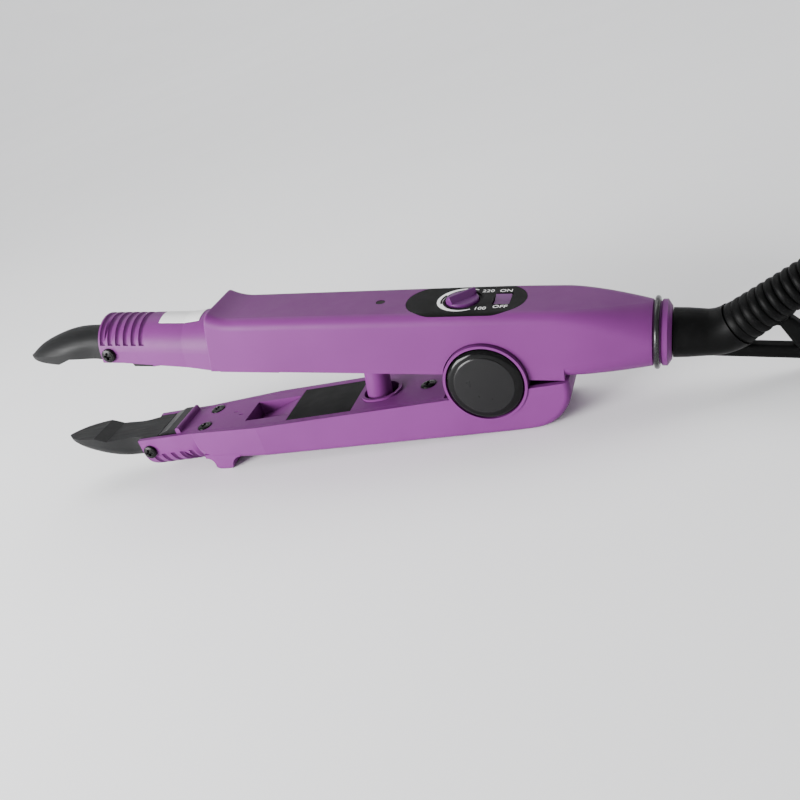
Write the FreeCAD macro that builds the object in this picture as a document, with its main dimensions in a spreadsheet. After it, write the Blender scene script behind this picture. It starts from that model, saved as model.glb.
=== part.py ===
import FreeCAD, Part
import math
import os

# Hair extension fusion iron: two hinged arms with heated jaws, and a swivelling lead.
# Each arm is drawn in its own frame: origin on the hinge axis, +X to the neck, +Y to the back,
# +Z away from the other arm on the upper arm and towards it on the lower one.
# The part's frame has Z = 0 on the floor under the lower arm and X = 0 half way along the iron.

doc = FreeCAD.newDocument("hair_extension_iron")
sheet = doc.addObject("Spreadsheet::Sheet", "sizes")

driving_sizes = [
    ("arm_width", 23.0), ("wall", 1.8), ("fit_gap", 0.15), ("seat_gap", 0.3), ("open_angle", 10.46),
    ("closed_angle", 1.2), ("jaw_clearance", 0.2),
    # upper housing, side view
    ("upper_floor", 2.6), ("body_front", 93.5), ("shield_at", 91.1), ("shield_height", 23.3),
    ("shield_run", 9.6), ("shield_round", 0.8), ("back_height", 20.9), ("hub_height", 22.5),
    ("top_round", 3.4),
    ("lug_end", 24.0), ("lug_floor", 1.0), ("lug_round", 4.5), ("arch_wall", 1.4), ("upper_boss", 2.4),
    ("neck_end", 49.0), ("neck_radius", 9.75), ("neck_height", 11.1),
    # noses of both arms
    ("nose_end", 135.5), ("nose_radius", 9.75), ("nose_height", 8.4), ("nose_wall", 1.6),
    ("nose_floor", 4.5), ("nose_flare", 103.0), ("groove_radius", 1.0), ("groove_depth", 0.85),
    ("cover_front", 129.0), ("sticker_front", 112.5), ("sticker_length", 15.5), ("sticker_width", 13.4),
    ("sticker_side", 4.4),
    ("upper_groove_at", 133.9), ("upper_groove_pitch", 3.07), ("upper_groove_count", 6),
    ("lower_groove_at", 131.6), ("lower_groove_pitch", 4.0), ("lower_groove_count", 5),
    # hinge
    ("drum_radius", 13.1), ("drum_gap", 0.4), ("drum_proud", 1.4), ("drum_inner", 7.2),
    ("barrel_radius", 6.0), ("pin_radius", 2.5), ("pin_clearance", 0.05),
    ("cap_depth", 1.5), ("cap_rim", 0.8), ("cap_height", 2.2), ("cap_bevel", 2.0), ("cap_edge", 0.6),
    # lower housing
    ("lower_width", 25.0), ("lower_top", 3.8), ("lower_taper", 84.0), ("lower_nose", 112.0),
    ("nose_blend", 8.0), ("nub_depth", 20.1), ("nub_at", 104.4), ("nub_round", 2.6),
    ("heel_depth", 18.5), ("heel_at", 9.0), ("heel_end", 24.8),
    ("belly_depth", 15.2), ("lower_round", 2.0), ("cover_plate", 1.7),
    # jaws and guards
    ("jaw_tip", 172.9), ("jaw_root", 122.0), ("jaw_height", 12.5), ("jaw_half", 6.9), ("pad_end", 157.0),
    ("pad_ramp", 5.0), ("pad_depth", 2.1), ("heater_half", 3.0), ("heater_height", 2.6),
    ("heater_front", 12.0), ("heater_lift", 2.2),
    ("guard_front", 127.4), ("guard_back", 117.4), ("guard_drop", 2.7), ("ridge_rise", 2.0),
    ("lower_guard_front", 127.8),
    # screws
    ("screw_radius", 1.2), ("screw_head", 2.5), ("screw_rise", 1.5), ("screw_length", 8.0),
    ("jaw_screw_at", 132.0), ("jaw_screw_height", 7.6), ("upper_sink", 0.9), ("lower_sink", 0.8),
    ("front_screw_at", 108.2), ("front_screw_side", 5.7), ("rear_screw_at", 23.2), ("upper_screw_at", 84.0),
    # spring post, cup and pocket
    ("post_at", 39.3), ("post_radius", 4.2), ("post_bore", 3.2), ("post_end", 12.0), ("post_top", 12.0),
    ("post_cap", 1.4),
    ("spring_radius", 2.85), ("spring_wire", 0.9), ("cup_wall", 1.0), ("cup_rise", 0.7), ("cup_floor", 13.6),
    ("cup_half", 5.3), ("cup_slide", 1.7), ("pocket_front", 91.0), ("pocket_back", 73.6),
    ("pocket_half", 6.2), ("pocket_depth", 5.5), ("label_front", 73.0), ("label_back", 48.4),
    ("label_half", 10.1), ("label_depth", 0.5),
    # control panel
    ("panel_radius", 10.0), ("panel_front", 15.0), ("panel_back", 2.5), ("panel_plate", 1.0),
    ("dial_at", 7.3), ("dial_radius", 5.1), ("dial_rise", 0.6), ("fin_rise", 1.9), ("shaft_radius", 1.5),
    ("dial_angle", 48.0), ("rocker_at", 5.2), ("rocker_width", 4.9), ("rocker_reach", 3.8),
    ("rocker_tilt", 8.0), ("rocker_drop", 2.3), ("trunnion_radius", 0.8), ("led_at", 33.8),
    ("led_radius", 1.5), ("board_height", 15.7), ("board_plate", 1.0), ("board_half", 9.2),
    ("board_front", 78.0), ("board_back", 16.0), ("pot_radius", 5.0),
    # neck, swivel and lead
    ("collar_end", 54.3), ("oring_at", 50.2), ("oring_radius", 10.0), ("oring_wire", 0.8),
    ("journal_radius", 5.6), ("journal_clearance", 0.05), ("stub_radius", 7.3), ("elbow_radius", 6.8),
    ("elbow_start", 64.0), ("elbow_bend", 12.0), ("elbow_angle", 41.8), ("elbow_roll", 11.5),
    ("sleeve_length", 44.0), ("sleeve_radius", 6.5), ("sleeve_tip", 4.9), ("rib_count", 17),
    ("rib_depth", 1.1), ("loop_plate", 4.0), ("loop_bar", 4.4), ("loop_round", 1.3),
    ("cord_radius", 3.25), ("hank_half", 19.7), ("hank_pitch", 7.32), ("hank_run", 70.0), ("hank_draw", 3.5),
    ("hank_layer", 7.1), ("hank_lift", 2.05), ("entry_side", 10.3), ("entry_run", 14.5),
    ("tie_width", 10.0), ("tie_strap", 1.1), ("tie_gap", 0.9),
    ("tail_length", 28.5), ("plug_back_height", 5.65), ("plug_clear", 0.4),
    ("plug_length", 36.0), ("plug_width", 35.3), ("plug_height", 13.7),
    ("pin_spacing", 18.6), ("plug_pin_radius", 2.0), ("plug_pin_length", 19.0),
]
for row, (alias, number) in enumerate(driving_sizes, start=1):
    sheet.set("A%d" % row, alias)
    sheet.set("B%d" % row, str(number))
    sheet.setAlias("B%d" % row, alias)
doc.recompute()

pieces = []


def size(alias):
    return float(sheet.get(alias))


def vec(x, y, z=0.0):
    return FreeCAD.Vector(x, y, z)


def turnAbout(axis, degrees):
    return FreeCAD.Rotation(FreeCAD.Vector(*axis), degrees)


# Stand of the iron: the nub and the heel of the lower arm touch the floor together.
arm_half = size("arm_width") / 2
lower_half = size("lower_width") / 2
drum_face = arm_half + size("drum_proud")
stand_slope = (size("nub_depth") - size("heel_depth")) / (size("nub_at") + size("heel_at"))
stand_angle = math.degrees(math.atan(stand_slope))
lean = math.radians(stand_angle)
hub_z = size("heel_depth") * math.cos(lean) + size("heel_at") * math.sin(lean)
upper_angle = stand_angle + size("open_angle")
upper_lean = math.radians(upper_angle)
tip_x = -size("jaw_tip") * math.cos(lean)
collar_top_x = (size("collar_end") - 1.2) * math.cos(upper_lean) + (
    size("neck_height") + size("neck_radius")) * math.sin(upper_lean)
hub_x = -(tip_x + collar_top_x) / 2

upper_frame = FreeCAD.Placement(vec(hub_x, 0, hub_z), turnAbout((0, 1, 0), upper_angle))
lower_frame = FreeCAD.Placement(vec(hub_x, 0, hub_z), turnAbout((0, 1, 0), stand_angle))
part_frame = FreeCAD.Placement()
print("hub at", round(hub_x, 3), round(hub_z, 3), "upper angle", round(upper_angle, 3),
      "lower angle", round(stand_angle, 3))


def floorAt(x):
    """Height of the floor line in the lower arm's frame."""
    return (x * math.sin(lean) - hub_z) / math.cos(lean)


def topAt(x):
    """Height of the upper housing's back in the upper arm's frame."""
    front = -(size("shield_at") - size("shield_run"))
    share = (min(x, 0.0) - front) / -front
    return size("back_height") + (size("hub_height") - size("back_height")) * share


def backSlope():
    """Rise of the housing's back per mm towards the hinge."""
    return (size("hub_height") - size("back_height")) / (size("shield_at") - size("shield_run"))


def tangentMiddle(start, end, way):
    """Middle of the arc between two points that runs along the direction way at its end."""
    reach = math.hypot(*way)
    tx, ty = way[0] / reach, way[1] / reach
    px, py = start[0] - end[0], start[1] - end[1]
    side = -ty * px + tx * py
    radius = (px * px + py * py) / (2 * side)
    cx, cy = end[0] - ty * radius, end[1] + tx * radius
    mx, my = (start[0] + end[0]) / 2 - cx, (start[1] + end[1]) / 2 - cy
    scale = abs(radius) / math.hypot(mx, my)
    return (cx + mx * scale, cy + my * scale)


def outlineEdges(outline, place=vec):
    """Edges through an outline: (x, y) is a line to there, (xm, ym, x, y) an arc over its middle."""
    edges = []
    start = outline[0]
    here = place(*start)
    for step in outline[1:] + [start]:
        there = place(*step[-2:])
        if there.distanceToPoint(here) < 1e-6:
            continue
        if len(step) == 4:
            edges.append(Part.Arc(here, place(*step[:2]), there))
        else:
            edges.append(Part.LineSegment(here, there))
        here = there
    return edges


def newBody(name):
    return doc.addObject("PartDesign::Body", name)


def newSketch(body, role, outlines, level=0.0):
    """Sketch of closed outlines or circles on one of the body's origin planes, lifted by level."""
    sketch = body.newObject("Sketcher::SketchObject", body.Name + "_sketch")
    plane = [feature for feature in body.Origin.OriginFeatures if feature.Role == role][0]
    sketch.AttachmentSupport = [(plane, "")]
    sketch.MapMode = "FlatFace"
    sketch.AttachmentOffset = FreeCAD.Placement(vec(0, 0, level), FreeCAD.Rotation())
    for outline in outlines:
        if isinstance(outline, Part.Circle):
            sketch.addGeometry(outline)
            continue
        for edge in outlineEdges(outline):
            sketch.addGeometry(edge)
    doc.recompute()
    return sketch


def box(x0, x1, y0, y1):
    return [(x0, y0), (x1, y0), (x1, y1), (x0, y1)]


def stadium(x0, x1, y, radius):
    """Slot outline with its round ends centred at x0 and x1."""
    return [(x0, y - radius), (x1, y - radius), (x1 + radius, y, x1, y + radius), (x0, y + radius),
            (x0 - radius, y, x0, y - radius)]


def pad(body, sketch, length, middle=True, back=False):
    """Pad by an expression, both ways from the sketch when middle is set."""
    feature = body.newObject("PartDesign::Pad", body.Name + "_pad")
    feature.Profile = sketch
    feature.SideType = "Symmetric" if middle else "One side"
    feature.Reversed = back
    feature.setExpression("Length", length)
    doc.recompute()
    return feature


def pocket(body, sketch, length, middle=True, back=False):
    """Pocket by an expression; it must take something away."""
    before = body.Shape.Volume
    feature = body.newObject("PartDesign::Pocket", body.Name + "_pocket")
    feature.Profile = sketch
    feature.SideType = "Symmetric" if middle else "One side"
    feature.Reversed = back
    feature.setExpression("Length", length)
    doc.recompute()
    if body.Shape.Volume > before - 1e-3:
        raise ValueError(body.Name + ": a pocket cuts nothing")
    return feature


def revolve(body, sketch):
    feature = body.newObject("PartDesign::Revolution", body.Name + "_turned")
    feature.Profile = sketch
    feature.ReferenceAxis = (sketch, ["H_Axis"])
    feature.Angle = 360
    doc.recompute()
    return feature


def roundEdges(body, alias, wanted):
    """Fillet the body's edges for which wanted(edge) holds."""
    tip = body.Tip
    names = ["Edge%d" % (index + 1) for index, edge in enumerate(tip.Shape.Edges) if wanted(edge)]
    feature = body.newObject("PartDesign::Fillet", body.Name + "_round")
    feature.Base = (tip, names)
    feature.setExpression("Radius", "sizes." + alias)
    doc.recompute()
    return feature


def solid(name, shape, place=None):
    """A document object that holds a shape made in code."""
    feature = doc.addObject("Part::Feature", name)
    feature.Shape = shape
    if place is not None:
        feature.Placement = place
    return feature


def cut(name, base, tools):
    joined = tools[0]
    if len(tools) > 1:
        joined = doc.addObject("Part::MultiFuse", name + "_tools")
        joined.Shapes = tools
    feature = doc.addObject("Part::Cut", name)
    feature.Base = base
    feature.Tool = joined
    doc.recompute()
    return feature


def fuse(name, shapes):
    feature = doc.addObject("Part::MultiFuse", name)
    feature.Shapes = shapes
    doc.recompute()
    return feature


def common(name, shapes):
    feature = doc.addObject("Part::MultiCommon", name)
    feature.Shapes = shapes
    doc.recompute()
    return feature


def group(name, shapes):
    feature = doc.addObject("Part::Compound", name)
    feature.Links = shapes
    doc.recompute()
    return feature


def cylinder(name, radius, height, base, axis=(0, 0, 1)):
    """Cylinder whose radius and height are expressions, or plain numbers worked out here."""
    feature = doc.addObject("Part::Cylinder", name)
    for key, value in (("Radius", radius), ("Height", height)):
        if isinstance(value, str):
            feature.setExpression(key, value)
        else:
            setattr(feature, key, value)
    feature.Placement = FreeCAD.Placement(vec(*base), FreeCAD.Rotation(vec(0, 0, 1), vec(*axis)))
    return feature


def block(name, low, high):
    """Box between two corners."""
    feature = doc.addObject("Part::Box", name)
    feature.Length = high[0] - low[0]
    feature.Width = high[1] - low[1]
    feature.Height = high[2] - low[2]
    feature.Placement.Base = vec(*low)
    return feature


def keep(label, feature, frame):
    """Name a finished sub-part and put it in the part's frame."""
    feature.Label = label
    feature.Placement = frame.multiply(feature.Placement)
    pieces.append(feature)
    return feature


def routeEdges(points):
    """Straight runs joined by tangent arcs, each arc as large as its two runs allow."""
    edges = []
    radii = []
    here = points[0]
    for before, corner, after in zip(points, points[1:], points[2:]):
        first = corner - before
        second = after - corner
        shorter = min(first.Length, second.Length)
        turn = first.getAngle(second)
        reach = 0.45 * shorter
        radii.append(reach / math.tan(turn / 2))
        first.normalize()
        second.normalize()
        start = corner - first * reach
        end = corner + second * reach
        centre_way = (second - first).normalize()
        centre = corner + centre_way * (radii[-1] / math.cos(turn / 2))
        middle = centre - centre_way * radii[-1]
        edges.append(Part.LineSegment(here, start))
        edges.append(Part.Arc(start, middle, end))
        here = end
    edges.append(Part.LineSegment(here, points[-1]))
    return edges, radii


def tube(name, points, radius):
    """Round tube along a route, with its volume compared to section times length."""
    edges, radii = routeEdges(points)
    path = Part.Wire([edge.toShape() for edge in edges])
    section = Part.Wire([Part.Circle(points[0], points[1] - points[0], radius).toShape()])
    shape = path.makePipeShell([section], True, False)
    expected = math.pi * radius ** 2 * path.Length
    if abs(shape.Volume / expected - 1) > 0.01:
        raise ValueError(name + ": the tube's volume is wrong")
    print(name, "length", round(path.Length, 1), "radii", [round(value) for value in radii])
    return shape


def sectionWire(x, half, low, high, low_round, high_round):
    """Rounded rectangle across the arm at x, drawn in the YZ plane."""
    high_round = min(high_round, half - 0.05, (high - low) - low_round - 0.05)
    a = half - low_round
    b = half - high_round
    c = 1 - math.cos(math.pi / 4)
    outline = [
        (-a, low), (a, low), (half - low_round * c, low + low_round * c, half, low + low_round),
        (half, high - high_round), (half - high_round * c, high - high_round * c, b, high),
        (-b, high), (-half + high_round * c, high - high_round * c, -half, high - high_round),
        (-half, low + low_round), (-half + low_round * c, low + low_round * c, -a, low),
    ]
    edges = outlineEdges(outline, lambda y, z: vec(x, y, z))
    return Part.Wire([edge.toShape() for edge in edges])


def archWire(x, half, low, high, waist):
    """Section with a flat underside, upright sides up to waist and an arched back."""
    edges = outlineEdges([(-half, low), (half, low), (half, waist), (0, high, -half, waist)],
                         lambda y, z: vec(x, y, z))
    return Part.Wire([edge.toShape() for edge in edges])


def noseWire(x, half, low, high):
    """D-shaped section of a nose: flat underside, upright sides and a half-round back."""
    return archWire(x, half, low, high, high - half)


def flipped(shape):
    """The same shape for the other arm, turned over through the hinge axis."""
    return shape.mirror(vec(0, 0, 0), vec(0, 0, 1))


# Way of the hub drum and of the arch over it.
drum_way = size("drum_radius") + size("drum_gap")
arch_outer = drum_way + size("arch_wall")

# The screws of the lower jaw sit a little further from the hinge plane than those of the upper one.
lower_screw_z = -size("jaw_screw_height") - 1


def upperBlock():
    """Outside of the upper housing from the finger shield to the lug, in side view."""
    body = newBody("upper_block")
    floor = size("upper_floor")
    lug = size("lug_floor")
    shield = -size("shield_at")
    run = size("shield_run")
    back_end = (shield + run, size("back_height"))
    hump = size("lug_end") / 2
    rise = backSlope() * hump / 2
    outline = [
        (-size("body_front"), floor),
        (shield, size("shield_height")),
        tangentMiddle((shield, size("shield_height")), back_end, (1, backSlope())) + back_end,
        (0, size("hub_height")),
        (hump, size("hub_height") + rise, size("lug_end"), size("hub_height")),
        (size("lug_end"), lug),
        (math.sqrt(drum_way ** 2 - lug ** 2), lug),
        (0, drum_way, -math.sqrt(drum_way ** 2 - floor ** 2), floor),
    ]
    pad(body, newSketch(body, "XZ_Plane", [outline]), "sizes.arm_width")
    return body


def isTopEdge(edge):
    middle = edge.valueAt((edge.FirstParameter + edge.LastParameter) / 2)
    return abs(abs(middle.y) - arm_half) < 1e-3 and middle.z > size("back_height") - 0.5


def isShieldEdge(edge):
    """Edges round the top of the finger shield's front."""
    middle = edge.valueAt((edge.FirstParameter + edge.LastParameter) / 2)
    front = all(vertex.X < -size("shield_at") + 0.8 for vertex in edge.Vertexes)
    return front and middle.z > size("shield_height") - size("top_round") - 0.4


def rearWires(inset, places):
    """Sections of the housing's tail, from the lug to the round neck."""
    wires = []
    for x in places:
        share = max(0.0, (x - size("lug_end")) / (size("neck_end") - size("lug_end")))
        ease = share ** 1.5
        half = arm_half + (size("neck_radius") - arm_half) * ease
        low = size("lug_floor") + (size("neck_height") - size("neck_radius") - size("lug_floor")) * ease
        high = size("hub_height") + (size("neck_height") + size("neck_radius") - size("hub_height")) * ease
        low_round = size("lug_round") + (size("neck_radius") - size("lug_round")) * ease
        high_round = size("top_round") + (size("neck_radius") - size("top_round")) * ease
        wires.append(sectionWire(x, half - inset, low + inset, high - inset,
                                 low_round - inset - 0.03, high_round - inset - 0.03))
    return wires


def noseShape(inset, front):
    """Solid of the upper nose with its flare into the body."""
    half = size("nose_radius") - inset
    high = size("nose_height") + size("nose_radius") - inset
    low = size("upper_floor") - 3.0
    flare = -size("nose_flare")
    mid = (flare - size("body_front")) / 2
    straight = Part.makeLoft([noseWire(-front, half, low, high), noseWire(flare, half, low, high)],
                             True, True)
    end = -size("shield_at") + 0.4
    grown = Part.makeLoft([
        noseWire(flare, half, low, high),
        noseWire(mid, half + 0.45, low, high + 0.6),
        noseWire(end, arm_half - 0.3 - inset, low, high + 1.9)], True, False)
    return straight.fuse(grown).removeSplitter()


def noseSide(inset):
    """Side view of the nose's underside, as a prism that keeps what lies above it."""
    body = newBody("nose_side_%d" % round(inset * 10))
    floor = size("nose_floor") + inset
    outline = [
        (-size("nose_end") - 5, floor), (-size("guard_front"), floor),
        (-size("body_front") - 1.5, size("upper_floor") + inset),
         (-size("shield_at") + 3, size("upper_floor") + inset),
        (-size("shield_at") + 3, 30), (-size("nose_end") - 5, 30),
    ]
    pad(body, newSketch(body, "XZ_Plane", [outline]), "sizes.arm_width + 10")
    return body


def grooves(name, first, pitch, count, low):
    """Rings round the nose that cut its grooves, kept above the level low."""
    rings = []
    centre = size("nose_radius") + size("groove_radius") - size("groove_depth")
    for index in range(int(count)):
        ring = doc.addObject("Part::Torus", name + "_ring")
        ring.Radius1 = centre
        ring.setExpression("Radius2", "sizes.groove_radius")
        ring.Placement = FreeCAD.Placement(vec(-first + pitch * index, 0, size("nose_height")),
                                           turnAbout((0, 1, 0), 90))
        rings.append(ring)
    keep_box = block(name + "_reach", (-size("nose_end") - 5, -20, low), (-90, 20, 40))
    return common(name, [fuse(name + "_rings", rings), keep_box])


def upperShell():
    outer = upperBlock()
    roundEdges(outer, "top_round", isTopEdge)
    roundEdges(outer, "shield_round", isShieldEdge)
    tail_places = [size("lug_end") + step for step in (-8, -4, 0, 4, 9, 14, 19)] + [size("neck_end")]
    tail = solid("upper_tail", Part.makeLoft(rearWires(0, tail_places), True, False))
    nose = common("upper_nose", [solid("upper_nose_round", noseShape(0, size("nose_end"))), noseSide(0)])
    hull = fuse("upper_hull", [outer, tail, nose])

    wall = size("wall")
    floor = size("upper_floor") - 1
    lug = size("lug_floor") + wall
    cavity = newBody("upper_cavity")
    outline = [
        (-size("shield_at") + wall, floor), (-size("shield_at") + wall, topAt(-80) - wall),
        (0, size("hub_height") - wall), (size("lug_end") - 3, size("hub_height") - wall),
        (size("lug_end") - 3, lug), (math.sqrt(arch_outer ** 2 - lug ** 2), lug),
        (0, arch_outer, -math.sqrt(arch_outer ** 2 - floor ** 2), floor),
    ]
    pad(cavity, newSketch(cavity, "XZ_Plane", [outline]), "sizes.arm_width - 2 * sizes.wall")
    tail_cavity = solid("upper_tail_cavity", Part.makeLoft(rearWires(wall, tail_places[2:]), True, False))
    tail_mouth = solid("upper_tail_mouth", Part.makeLoft(
        rearWires(wall, (size("lug_end") - 4, size("lug_end") + 0.2)), True, True))
    neck_bore = cylinder("neck_bore", "sizes.neck_radius - sizes.wall", 12,
                         (size("neck_end") - 8, 0, size("neck_height")), (1, 0, 0))
    nose_wall = size("nose_wall")
    nose_hollow = common("upper_nose_hollow", [
        solid("upper_nose_inside", noseShape(nose_wall, size("nose_end") + 1)), noseSide(nose_wall)])
    mouth_front = size("cover_front") + 0.2
    nose_mouth = block("upper_nose_mouth", (-mouth_front, -size("nose_radius") + nose_wall, 0),
                       (-size("shield_at") + wall + 0.5, size("nose_radius") - nose_wall, 8))
    body_mouth = block("upper_body_mouth", (-size("shield_at"), -arm_half + wall, 0),
                       (-size("shield_at") + wall + 0.5, arm_half - wall, 8))
    ribs = grooves("upper_grooves", size("upper_groove_at"), size("upper_groove_pitch"),
                   size("upper_groove_count"), 11.0)

    lowered = doc.addObject("Part::Feature", "upper_block_lowered")
    lowered.Shape = outer.Shape
    lowered.Placement.Base = vec(0, 0, -size("panel_plate") - 0.05)
    window = newBody("panel_window")
    pad(window, newSketch(window, "XY_Plane", [stadium(-size("panel_front"), size("panel_back"), 0,
                                                       size("panel_radius") + size("fit_gap"))]),
        "30", False)
    panel_recess = cut("panel_recess", window, [lowered])
    dial_hole = cylinder("dial_hole", size("dial_radius") + 0.6, 20, (-size("dial_at"), 0, 18))
    switch_half = 3.9
    switch_hole = block("switch_hole", (size("rocker_at") - switch_half, -5.3, 18),
                        (size("rocker_at") + switch_half, 5.3, 30))
    led_hole = cylinder("led_hole", "sizes.led_radius + 0.05", 10, (-size("led_at"), 0, 17))
    screw_way = cylinder("jaw_screw_way", "sizes.screw_radius + 0.1", 40,
                         (-size("jaw_screw_at"), -20, size("jaw_screw_height")), (0, 1, 0))
    shell = cut("upper_shell_open", hull, [
        cavity, tail_cavity, tail_mouth, neck_bore, nose_hollow, nose_mouth, body_mouth, ribs,
        panel_recess, dial_hole, switch_hole, led_hole, screw_way])

    barrel = cylinder("upper_barrel", "sizes.barrel_radius", 2 * (size("drum_inner") - size("seat_gap")),
                      (0, -size("drum_inner") + size("seat_gap"), 0), (0, 1, 0))
    web = block("upper_web", (-4, -size("drum_inner") + size("seat_gap"), 3),
                (4, size("drum_inner") - size("seat_gap"), drum_way + 0.5))
    boss_low = size("upper_floor") + 2
    rear_boss = cylinder("upper_rear_boss", "sizes.upper_boss", 11, (-size("rear_screw_at"), 0, boss_low))
    rear_web = block("upper_rear_web", (-size("rear_screw_at"), -0.8, size("upper_floor") + 2),
                     (-drum_way + 1.5, 0.8, size("upper_floor") + 9))
    bosses = [cylinder("upper_front_boss", "sizes.upper_boss", size("back_height") - wall / 2 - boss_low,
                       (x, y, boss_low))
              for x, y in coverScrews(size("upper_screw_at")) if y]
    over_board = size("board_height") + size("board_plate") + 0.1
    board_rib = block("upper_board_rib", (-62, -arm_half + 1, over_board),
                      (-60, arm_half - 1, topAt(-61) - 1))
    shelf = [block("upper_board_shelf", (-62, min(side * arm_half * 0.95, side * 8.4), 9),
                   (-60, max(side * arm_half * 0.95, side * 8.4), size("board_height") - 0.1))
             for side in (-1, 1)]
    full = fuse("upper_shell_full", [shell, barrel, web, rear_boss, rear_web, board_rib] + bosses + shelf)
    pin_way = cylinder("upper_pin_way", "sizes.pin_radius + sizes.pin_clearance", 40, (0, -20, 0), (0, 1, 0))
    drills = [cylinder("upper_drill", "sizes.screw_radius + 0.02", 12, (x, y, size("upper_floor") - 2))
              for x, y in coverScrews(size("upper_screw_at"))]
    return keep("upper_shell", cut("upper_shell", full, [pin_way] + drills), upper_frame), outer


def coverScrews(front):
    side = size("front_screw_side")
    return [(-front, -side), (-front, side), (-size("rear_screw_at"), 0)]


def trimCorners(body, front, back, front_half, back_half):
    """Take the corners off a plate in plan view, so that it narrows towards the nose."""
    for side in (-1, 1):
        outline = [(-front - 1, side * front_half), (-back, side * back_half), (-back, side * 30),
                   (-front - 1, side * 30)]
        if side < 0:
            outline = outline[::-1]
        pocket(body, newSketch(body, "XY_Plane", [outline]), "120")


def screwSolid(name, base, axis):
    """Pan-head screw with a cross recess; base is under its head, axis points out of the head."""
    head = size("screw_head")
    rise = size("screw_rise")
    shank = cylinder(name + "_shank", "sizes.screw_radius", "sizes.screw_length + 0.1",
                     (0, 0, -size("screw_length")))
    cap = newBody(name + "_head")
    outline = [(0, 0), (0, head), (rise * 0.5, head), (rise * 0.9, head * 0.8, rise, head * 0.45), (rise, 0)]
    revolve(cap, newSketch(cap, "XZ_Plane", [outline]))
    cap.Placement = FreeCAD.Placement(vec(0, 0, 0), turnAbout((0, 1, 0), -90))
    slot = 0.45
    reach = head * 0.6
    cross = [block(name + "_slot", (-reach, -slot / 2, rise * 0.45), (reach, slot / 2, rise + 1)),
             block(name + "_slot", (-slot / 2, -reach, rise * 0.45), (slot / 2, reach, rise + 1))]
    whole = cut(name, fuse(name + "_blank", [shank, cap]), cross)
    whole.Placement = FreeCAD.Placement(vec(*base), FreeCAD.Rotation(vec(0, 0, 1), vec(*axis)))
    return whole


def upperCover():
    body = newBody("upper_cover_plate")
    floor = size("upper_floor")
    plate = size("cover_plate")
    nose = size("nose_floor")
    outline = [
        (-size("cover_front"), nose), (-size("guard_front"), nose), (-size("guard_back"), nose - 0.4),
        (-size("guard_back") + 0.1, nose - size("guard_drop") + 0.5),
        (-size("guard_back") + 2.6, nose - size("guard_drop") + 0.7),
        (-size("guard_back") + 3.4, nose - 0.5),
        (-size("body_front") - 2, floor), (-size("body_front") - 1, floor - 1.3), (-69.5, floor - 1.3),
        (-68.4, floor), (-arch_outer - size("seat_gap"), floor),
        (-arch_outer - size("seat_gap"), floor + plate), (-size("shield_at"), floor + plate),
        (-size("guard_back"), nose + plate), (-size("cover_front"), nose + plate),
    ]
    gap = size("fit_gap")
    pad(body, newSketch(body, "XZ_Plane", [outline]), "sizes.arm_width - 2 * sizes.wall - 2 * sizes.fit_gap")
    nose_half = size("nose_radius") - size("nose_wall") - gap
    trimCorners(body, size("cover_front") + 1, size("shield_at") - gap, nose_half, nose_half)
    slot = newSketch(body, "XY_Plane", [box(-size("guard_front") + 1.1, -size("guard_back") - 0.9,
                                            -size("jaw_half") + 1.4, size("jaw_half") - 1.4)])
    pocket(body, slot, "60")
    post = cylinder("spring_post", "sizes.post_radius", "sizes.post_end + sizes.post_top",
                    (-size("post_at"), 0, -size("post_end")))
    bore = cylinder("spring_bore", "sizes.post_bore", "sizes.post_end + sizes.post_top - sizes.post_cap",
                    (-size("post_at"), 0, -size("post_end")))
    drills = [cylinder("cover_drill", "sizes.screw_radius + 0.1", 10, (x, y, floor - 5))
              for x, y in coverScrews(size("upper_screw_at"))]
    sinks = [cylinder("cover_sink", "sizes.screw_head + 0.2", 5, (x, y, floor + size("upper_sink") - 5))
             for x, y in coverScrews(size("upper_screw_at"))]
    cover = cut("upper_cover", fuse("upper_cover_post", [body, post]), [bore] + drills + sinks)
    return keep("upper_cover", cover, upper_frame)


def padLine(x):
    """Height of the plane in which the closed jaws meet, in the upper arm's frame."""
    return -x * math.tan(math.radians(size("closed_angle") / 2)) + size("jaw_clearance") / 2


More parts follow.
